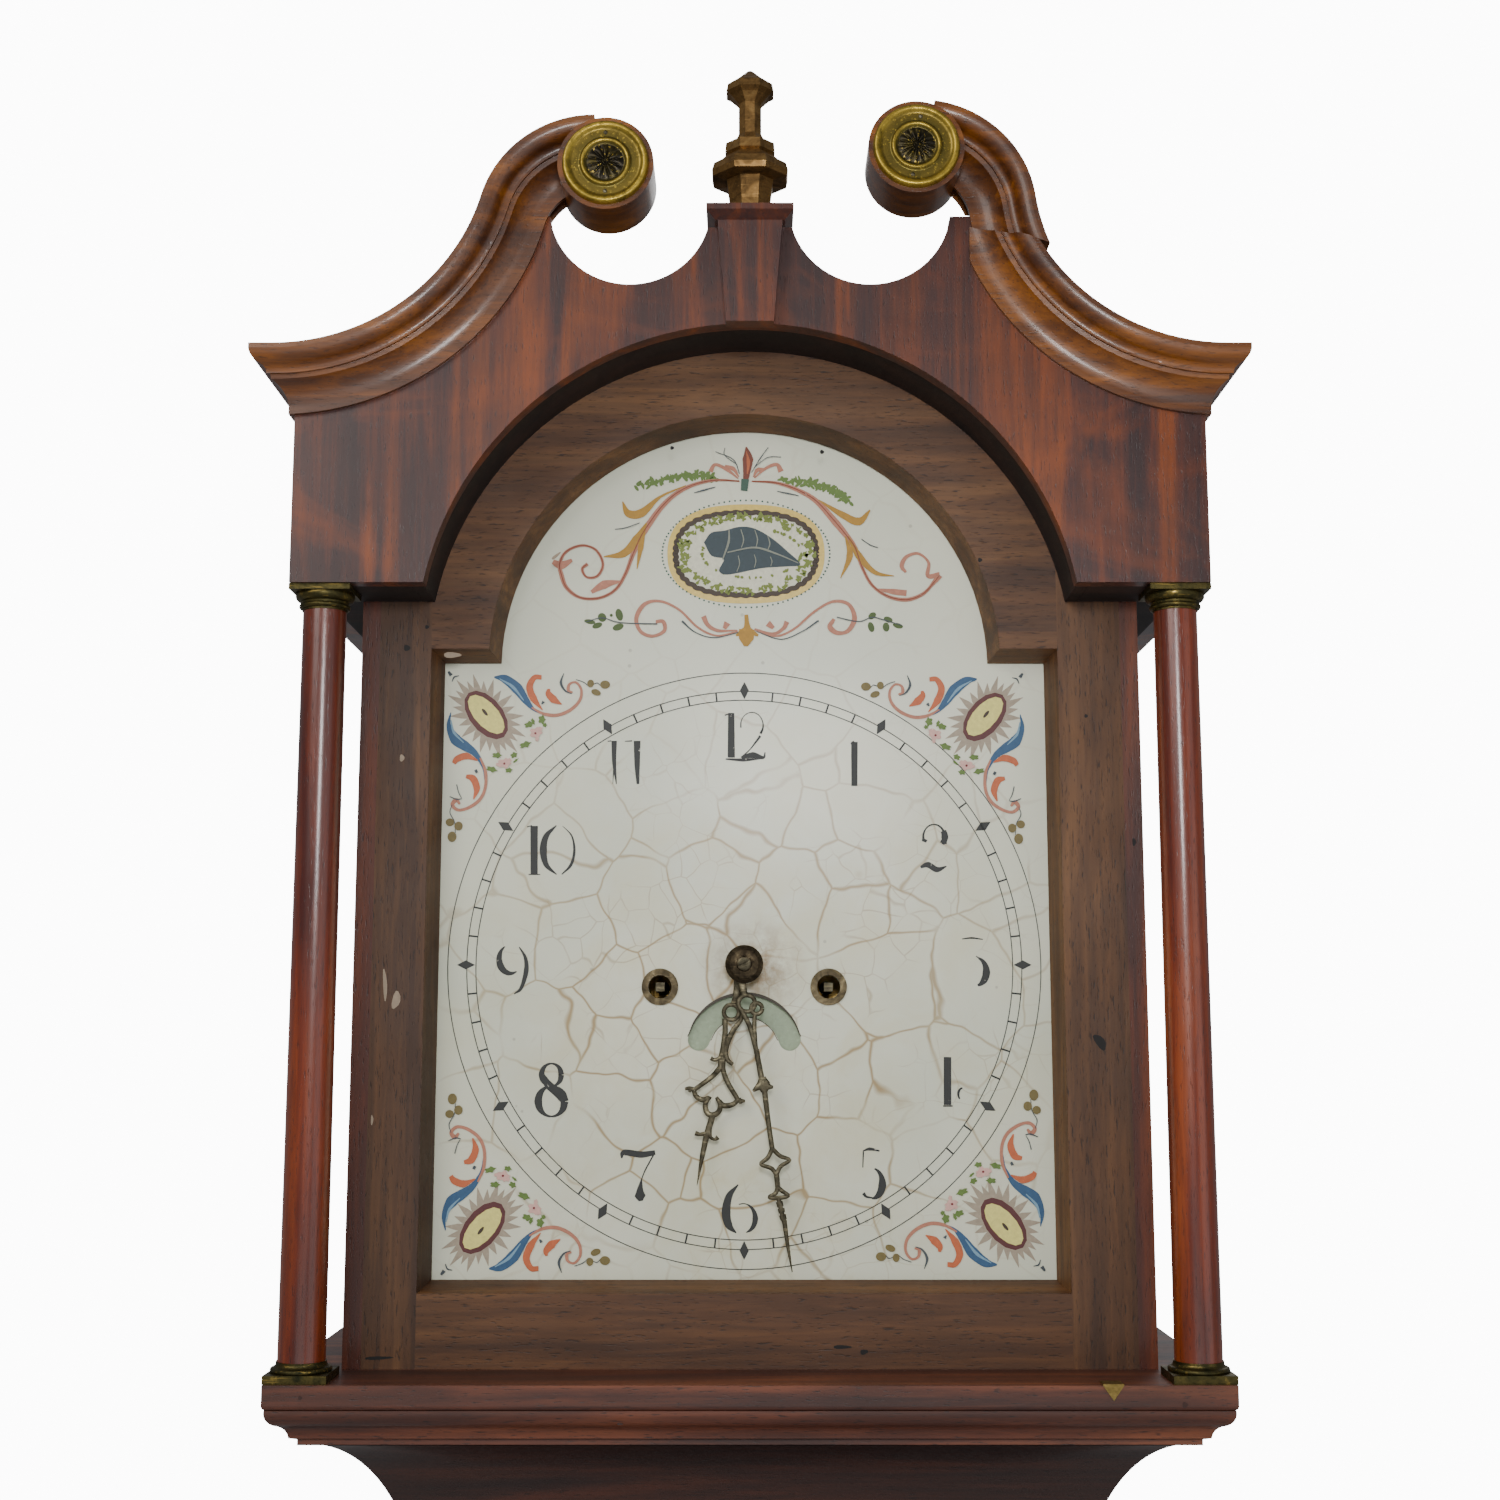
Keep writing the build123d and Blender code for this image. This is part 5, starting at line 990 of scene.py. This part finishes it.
HAND_SHEET = (640.0, 930.0, 0.22965)
HOUR_BARS = (
    ([(430, 160), (428, 240), (415, 300), (405, 325)], (22, 14, 9, 7)),
    ([(368, 385), (371, 440), (364, 505), (354, 560), (350, 600)], (6, 7, 8, 7)),
    ([(436, 398), (404, 440), (380, 492), (372, 532), (382, 566), (404, 586)], (5, 7, 8, 6, 4)),
    ([(437, 340), (445, 370), (436, 400)], (6, 5, 5)),
    ([(352, 556), (326, 566), (308, 558)], (5, 4, 5)), ([(352, 596), (312, 640), (236, 696)], (8, 6, 5)),
    ([(236, 696), (214, 690), (196, 692)], (6, 5, 3)), ([(214, 706), (222, 690)], (3, 4)),
    ([(362, 556), (362, 610), (386, 672), (418, 724), (424, 742)], (7, 6, 6, 5)),
    ([(420, 738), (440, 744), (458, 745)], (6, 5, 3)), ([(434, 730), (438, 758)], (3, 3)),
    ([(234, 700), (246, 726), (276, 740), (300, 730), (304, 724)], (5, 6, 7, 4)),
    ([(426, 742), (402, 760), (366, 765), (346, 748), (332, 728)], (5, 7, 7, 4)),
    ([(300, 732), (284, 760), (292, 795), (314, 806), (340, 794), (350, 765), (340, 740)], (4, 6, 7, 8, 7, 6, 4)),
    ([(316, 806), (306, 842), (292, 890)], (8, 9, 9)), ([(292, 884), (262, 890), (240, 884)], (5, 4, 6)),
    ([(302, 862), (306, 900), (326, 912), (340, 902)], (6, 4, 3, 6)),
    ([(293, 880), (272, 980), (248, 1112)], (9, 6, 1)),
)
HOUR_RINGS = ((398, 358, 33, 5),)
MINUTE_BARS = (
    ([(434, 160), (446, 240), (456, 285)], (20, 12, 8)),
    ([(444, 352), (478, 420), (500, 500), (508, 530)], (6, 6, 6, 6)),
    ([(500, 362), (498, 420), (503, 500), (508, 530)], (5, 5, 5, 6)),
    ([(506, 520), (518, 585), (530, 650)], (7, 7, 8)), ([(532, 640), (537, 672), (542, 706)], (9, 26, 9)),
    ([(492, 702), (514, 684), (534, 676), (556, 682), (580, 684)], (3, 10, 20, 10, 3)),
    ([(542, 700), (562, 860), (576, 952)], (7, 6, 6)),
    ([(576, 952), (556, 992), (526, 1020), (572, 1038), (594, 1066)], (5, 5, 4, 5, 5)),
    ([(576, 952), (610, 984), (652, 1002), (612, 1030), (594, 1066)], (5, 5, 4, 5, 5)),
    ([(594, 1062), (600, 1122)], (7, 6)), ([(600, 1120), (590, 1146), (562, 1164), (602, 1168)], (5, 5, 4, 5)),
    ([(600, 1120), (618, 1136), (646, 1158), (602, 1168)], (5, 5, 4, 5)),
    ([(603, 1168), (616, 1225), (628, 1272)], (5, 5, 6)), ([(606, 1182), (612, 1206)], (10, 9)),
    ([(614, 1212), (618, 1232)], (10, 9)), ([(620, 1240), (626, 1262)], (10, 9)),
    ([(628, 1265), (644, 1380), (663, 1490)], (6, 4, 2)),
)
MINUTE_RINGS = ((465, 320, 36, 5), (508, 342, 24, 5))


def hand_piece(name, bars, rings, depth_y, body, node, material, half):
    """A pierced hand built of rounded bars, in the plane at depth_y."""
    left, top, step = HAND_SHEET
    scale = step / FOCAL * (depth_y - EYE[1])
    parts = []
    paths = list(bars)
    for x, y, radius, width in rings:
        paths.append((bow(x, y, radius, radius, 0, 360, 15), (width, width)))
    for points, widths in paths:
        spots = np.asarray(points, float)
        flat = from_view(np.column_stack((left + spots[:, 0] * step, top + spots[:, 1] * step)), depth_y)
        spread = np.asarray(widths, float)
        spread = np.where(spread > 2, np.minimum(spread * 1.9, spread + 4.8), spread)
        corners, faces = tube(flat, spread * scale, 8, half, 6)
        parts.append((corners + (0, depth_y, 0), faces))
    corners, faces = joined(parts)
    piece = make_mesh(name, corners, faces, material)
    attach(piece, body)
    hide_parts(node)
    return piece


class CLOCK_OT_hands(bpy.types.Operator):
    """Draw the two pierced hands and the screw that holds them"""
    bl_idname = "clock.hands"
    bl_label = "Hands"

    def execute(self, context):
        half = context.scene.clock_hands.thickness
        steel = metal("hand_steel", **METALS["dark_steel"])
        hand_piece("hour_hand_pierced", HOUR_BARS, HOUR_RINGS, HOUR_Y, "hour_work", "hour_hand", steel, half)
        hand_piece("minute_hand_pierced", MINUTE_BARS, MINUTE_RINGS, MINUTE_Y, "minute_work", "minute_hand", steel,
                   half)
        angle = np.linspace(0, 2 * pi, 33)[None, :-1]
        reach = np.linspace(0, SCREW_RADIUS, 7)[:, None]
        swell = COLLET_FACE_Y - 0.0008 * np.sqrt(np.maximum(1 - (reach / 0.0035) ** 2, 0)) + 0 * angle
        groove = np.abs(reach * (np.sin(angle) * 0.9 - np.cos(angle) * 0.45)) < 0.0005
        swell = np.where(groove, COLLET_FACE_Y, swell)
        corners = np.stack((DIAL_X + reach * np.cos(angle), swell, DIAL_Z + reach * np.sin(angle)), axis=2)
        screw = make_mesh("collet_screw", corners.reshape(-1, 3), round_faces(6, 32),
                          metal("screw_steel", **METALS["dark_steel"]))
        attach(screw, "minute_work")
        return {"FINISHED"}


# Brass rosettes on the scrolls

ROSETTES = (("left", (-0.074, -0.1605, 2.2143), 12, 0.0), ("right", (0.08534, -0.1605, 2.22315), 16, 8.0))


def rosette(name, centre, petals, turn, material):
    """A pressed disc.

    Its height is a stepped profile in r, plus petals of 1.1 mm times |cos(n (t + turn) / 2)| to the power 0.7
    times sin(pi r / 9.8 mm), which end at r = 9.8 mm."""
    reach = np.linspace(0, ROSETTE_RADIUS, 46)[:, None]
    angle = np.linspace(0, 2 * pi, 193)[None, :-1]
    radii = np.array((0, 1.6, 2.4, 9.6, 10.2, 11.2, 12.4, 13.2, 17.6, 18.2, 19.6, 21.2, 22.0, 22.4)) / 1000
    heights = np.array((3.0, 2.8, 1.6, 1.4, 1.8, 2.9, 2.9, 1.5, 1.5, 1.8, 3.0, 3.0, 2.0, 0.0)) / 1000
    height = np.interp(reach, radii, heights) + 0 * angle
    leaf = np.abs(np.cos(petals * (angle + radians(turn)) / 2)) ** 0.7 * np.sin(np.clip(reach / 0.0098, 0, 1) * pi)
    height = height + 0.0011 * leaf
    corners = np.stack((centre[0] + reach * np.cos(angle), centre[1] - height, centre[2] + reach * np.sin(angle)),
                       axis=2).reshape(-1, 3)
    piece = make_mesh(name, corners, round_faces(45, angle.size), material)
    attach(piece, "hood")
    return piece


class CLOCK_OT_rosettes(bpy.types.Operator):
    """Press the two brass rosettes with their flowers and pins"""
    bl_idname = "clock.rosettes"
    bl_label = "Rosettes"

    def execute(self, context):
        for side, centre, petals, turn in ROSETTES:
            material = bead_brass("rosette_brass_" + side, centre)
            piece = rosette("rosette_" + side, centre, petals, turn, material)
            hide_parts("scroll_rosettes")
            pins = []
            for lean in (90, 270):
                way = radians(lean - turn)
                spot = (centre[0] + PIN_REACH * cos(way), centre[2] + PIN_REACH * sin(way))
                corners, faces = blob(spot, 0.0011, 0.0011)
                solid = np.column_stack((corners[:, 0], np.full(len(corners), centre[1] - 0.0017), corners[:, 1]))
                solid[0, 1] -= 0.0008
                pins.append((solid, faces))
            corners, faces = joined(pins)
            pin = make_mesh("rosette_pins_" + side, corners, faces,
                            metal("pin_steel_" + side, **METALS["dark_steel"]))
            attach(pin, "hood")
        return {"FINISHED"}


# Gut lines

LINES = (("going", 0.01525, 0.03775, 1.0193), ("strike", -0.07335, -0.05085, 1.0793))


class CLOCK_OT_lines(bpy.types.Operator):
    """Hang each weight on a doubled gut line that follows it"""
    bl_idname = "clock.lines"
    bl_label = "Gut lines"

    def execute(self, context):
        radius = context.scene.clock_look.gut_thickness
        gut = paint("gut", srgb(156, 128, 80), 0.0, 0.45)
        for name, left, middle, axle in LINES:
            reach = middle - left
            body = name + "_weight_body"
            runs = (("left", left, 1.7975), ("right", middle + reach, 1.725))
            for side, x, top in runs:
                heights = np.linspace(axle, top, 40)
                corners, faces = tube(np.column_stack((np.full(40, x), heights)), (radius, radius), 8, radius, 1)
                piece = make_mesh(f"{name}_line_{side}", corners, faces, gut)
                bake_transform(piece)
                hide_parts(name + "_line")
            loop = bow(middle, axle, reach, reach, 180, 360, 15)
            corners, faces = tube(loop, (radius, radius), 8, radius, 3)
            piece = make_mesh(name + "_line_loop", corners, faces, gut)
            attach(piece, body)
        return {"FINISHED"}


class CLOCK_OT_stage(bpy.types.Operator):
    """Set the floor, the soft lights, the pale surround and the camera"""
    bl_idname = "clock.stage"
    bl_label = "Stage"

    def execute(self, context):
        net = Net("floor_paint")
        floor_look = net.finish(net.ramp(net.noise(1.5, 3), (0.3, (0.86, 0.86, 0.86, 1)), (0.7, (0.9, 0.9, 0.9, 1))),
                                0.8)
        size = 5.0
        corners = np.array(((-size, -size, 0), (size, -size, 0), (size, size, 0), (-size, size, 0)))
        floor = make_mesh("stage_floor", corners, np.array(((0, 1, 2, 3),)), floor_look, False)

        world = bpy.data.worlds.new("pale_surround")
        world.use_nodes = True
        context.scene.world = world
        tree = world.node_tree
        soft = tree.nodes["Background"]
        soft.inputs["Color"].default_value = (0.93, 0.96, 1.0, 1)
        soft.inputs["Strength"].default_value = 0.26
        plain = tree.nodes.new("ShaderNodeBackground")
        plain.inputs["Color"].default_value = (1, 1, 1, 1)
        plain.inputs["Strength"].default_value = 12.0
        seen = tree.nodes.new("ShaderNodeLightPath")
        blend = tree.nodes.new("ShaderNodeMixShader")
        tree.links.new(seen.outputs["Is Camera Ray"], blend.inputs[0])
        tree.links.new(soft.outputs[0], blend.inputs[1])
        tree.links.new(plain.outputs[0], blend.inputs[2])
        tree.links.new(blend.outputs[0], tree.nodes["World Output"].inputs[0])

        lights = (("key", (-1.3, -2.0, 3.0), 25, 1.2, 1.2, (1.0, 0.98, 0.95)),
                  ("flash", (0.03, -1.2, 2.06), 5.5, 0.2, 0.2, (1.0, 1.0, 1.0)),
                  ("fill", (1.9, -1.8, 1.6), 9, 1.6, 2.0, (0.95, 0.98, 1.0)),
                  ("front_low", (0.0, -3.2, 0.7), 9, 2.4, 1.2, (1.0, 1.0, 1.0)),
                  ("back_top", (0.6, 2.4, 3.4), 14, 2.0, 1.2, (1.0, 1.0, 1.0)))
        for name, spot, power, wide, tall, colour in lights:
            data = bpy.data.lights.new(name, "AREA")
            data.shape = "RECTANGLE"
            data.size = wide
            data.size_y = tall
            data.energy = power
            data.color = colour
            lamp = bpy.data.objects.new(name, data)
            lamp.location = spot
            target = Vector((0, 0, 1.85 if name != "front_low" else 1.0))
            lamp.rotation_euler = (target - Vector(spot)).to_track_quat("-Z", "Y").to_euler()
            lamp.visible_camera = False
            context.scene.collection.objects.link(lamp)

        camera = bpy.data.cameras.new("view")
        camera.sensor_width = SENSOR
        camera.lens = FOCAL / PICTURE * SENSOR
        camera.clip_start = 0.05
        camera.clip_end = 200
        seat = bpy.data.objects.new("view", camera)
        seat.location = EYE
        seat.rotation_euler = (pi / 2 + TILT, 0, 0)
        context.scene.collection.objects.link(seat)
        context.scene.camera = seat
        return {"FINISHED"}


class CLOCK_PT_panel(bpy.types.Panel):
    """Sizes and steps of the clock"""
    bl_idname = "CLOCK_PT_panel"
    bl_label = "Longcase clock"
    bl_space_type = "VIEW_3D"
    bl_region_type = "UI"
    bl_category = "Clock"

    def draw(self, context):
        layout = self.layout
        scene = context.scene
        for group, names in ((scene.clock_look, ("dial_wear", "gut_thickness")),
                             (scene.clock_dial, ("border", "minute_outer", "minute_inner", "line")),
                             (scene.clock_hands, ("thickness",))):
            for name in names:
                layout.prop(group, name)
        for step in STEPS:
            layout.operator(step.bl_idname)


GROUPS = (ClockLook, DialPaint, HandShape)
STEPS = (CLOCK_OT_case_looks, CLOCK_OT_chapter_ring, CLOCK_OT_arch_painting, CLOCK_OT_corner_painting,
         CLOCK_OT_marks, CLOCK_OT_hands, CLOCK_OT_rosettes, CLOCK_OT_lines, CLOCK_OT_stage)


def register():
    for item in (*GROUPS, *STEPS, CLOCK_PT_panel):
        bpy.utils.register_class(item)
    bpy.types.Scene.clock_look = bpy.props.PointerProperty(type=ClockLook)
    bpy.types.Scene.clock_dial = bpy.props.PointerProperty(type=DialPaint)
    bpy.types.Scene.clock_hands = bpy.props.PointerProperty(type=HandShape)


def unregister():
    del bpy.types.Scene.clock_look
    del bpy.types.Scene.clock_dial
    del bpy.types.Scene.clock_hands
    for item in reversed((*GROUPS, *STEPS, CLOCK_PT_panel)):
        bpy.utils.unregister_class(item)


def plain(bounds):
    """Bounds as plain lists."""
    return [[float(value) for value in corner] for corner in bounds]


def main():
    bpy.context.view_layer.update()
    register()
    for step in STEPS:
        group, name = step.bl_idname.split(".")
        getattr(getattr(bpy.ops, group), name)()


if __name__ == "__main__":
    main()
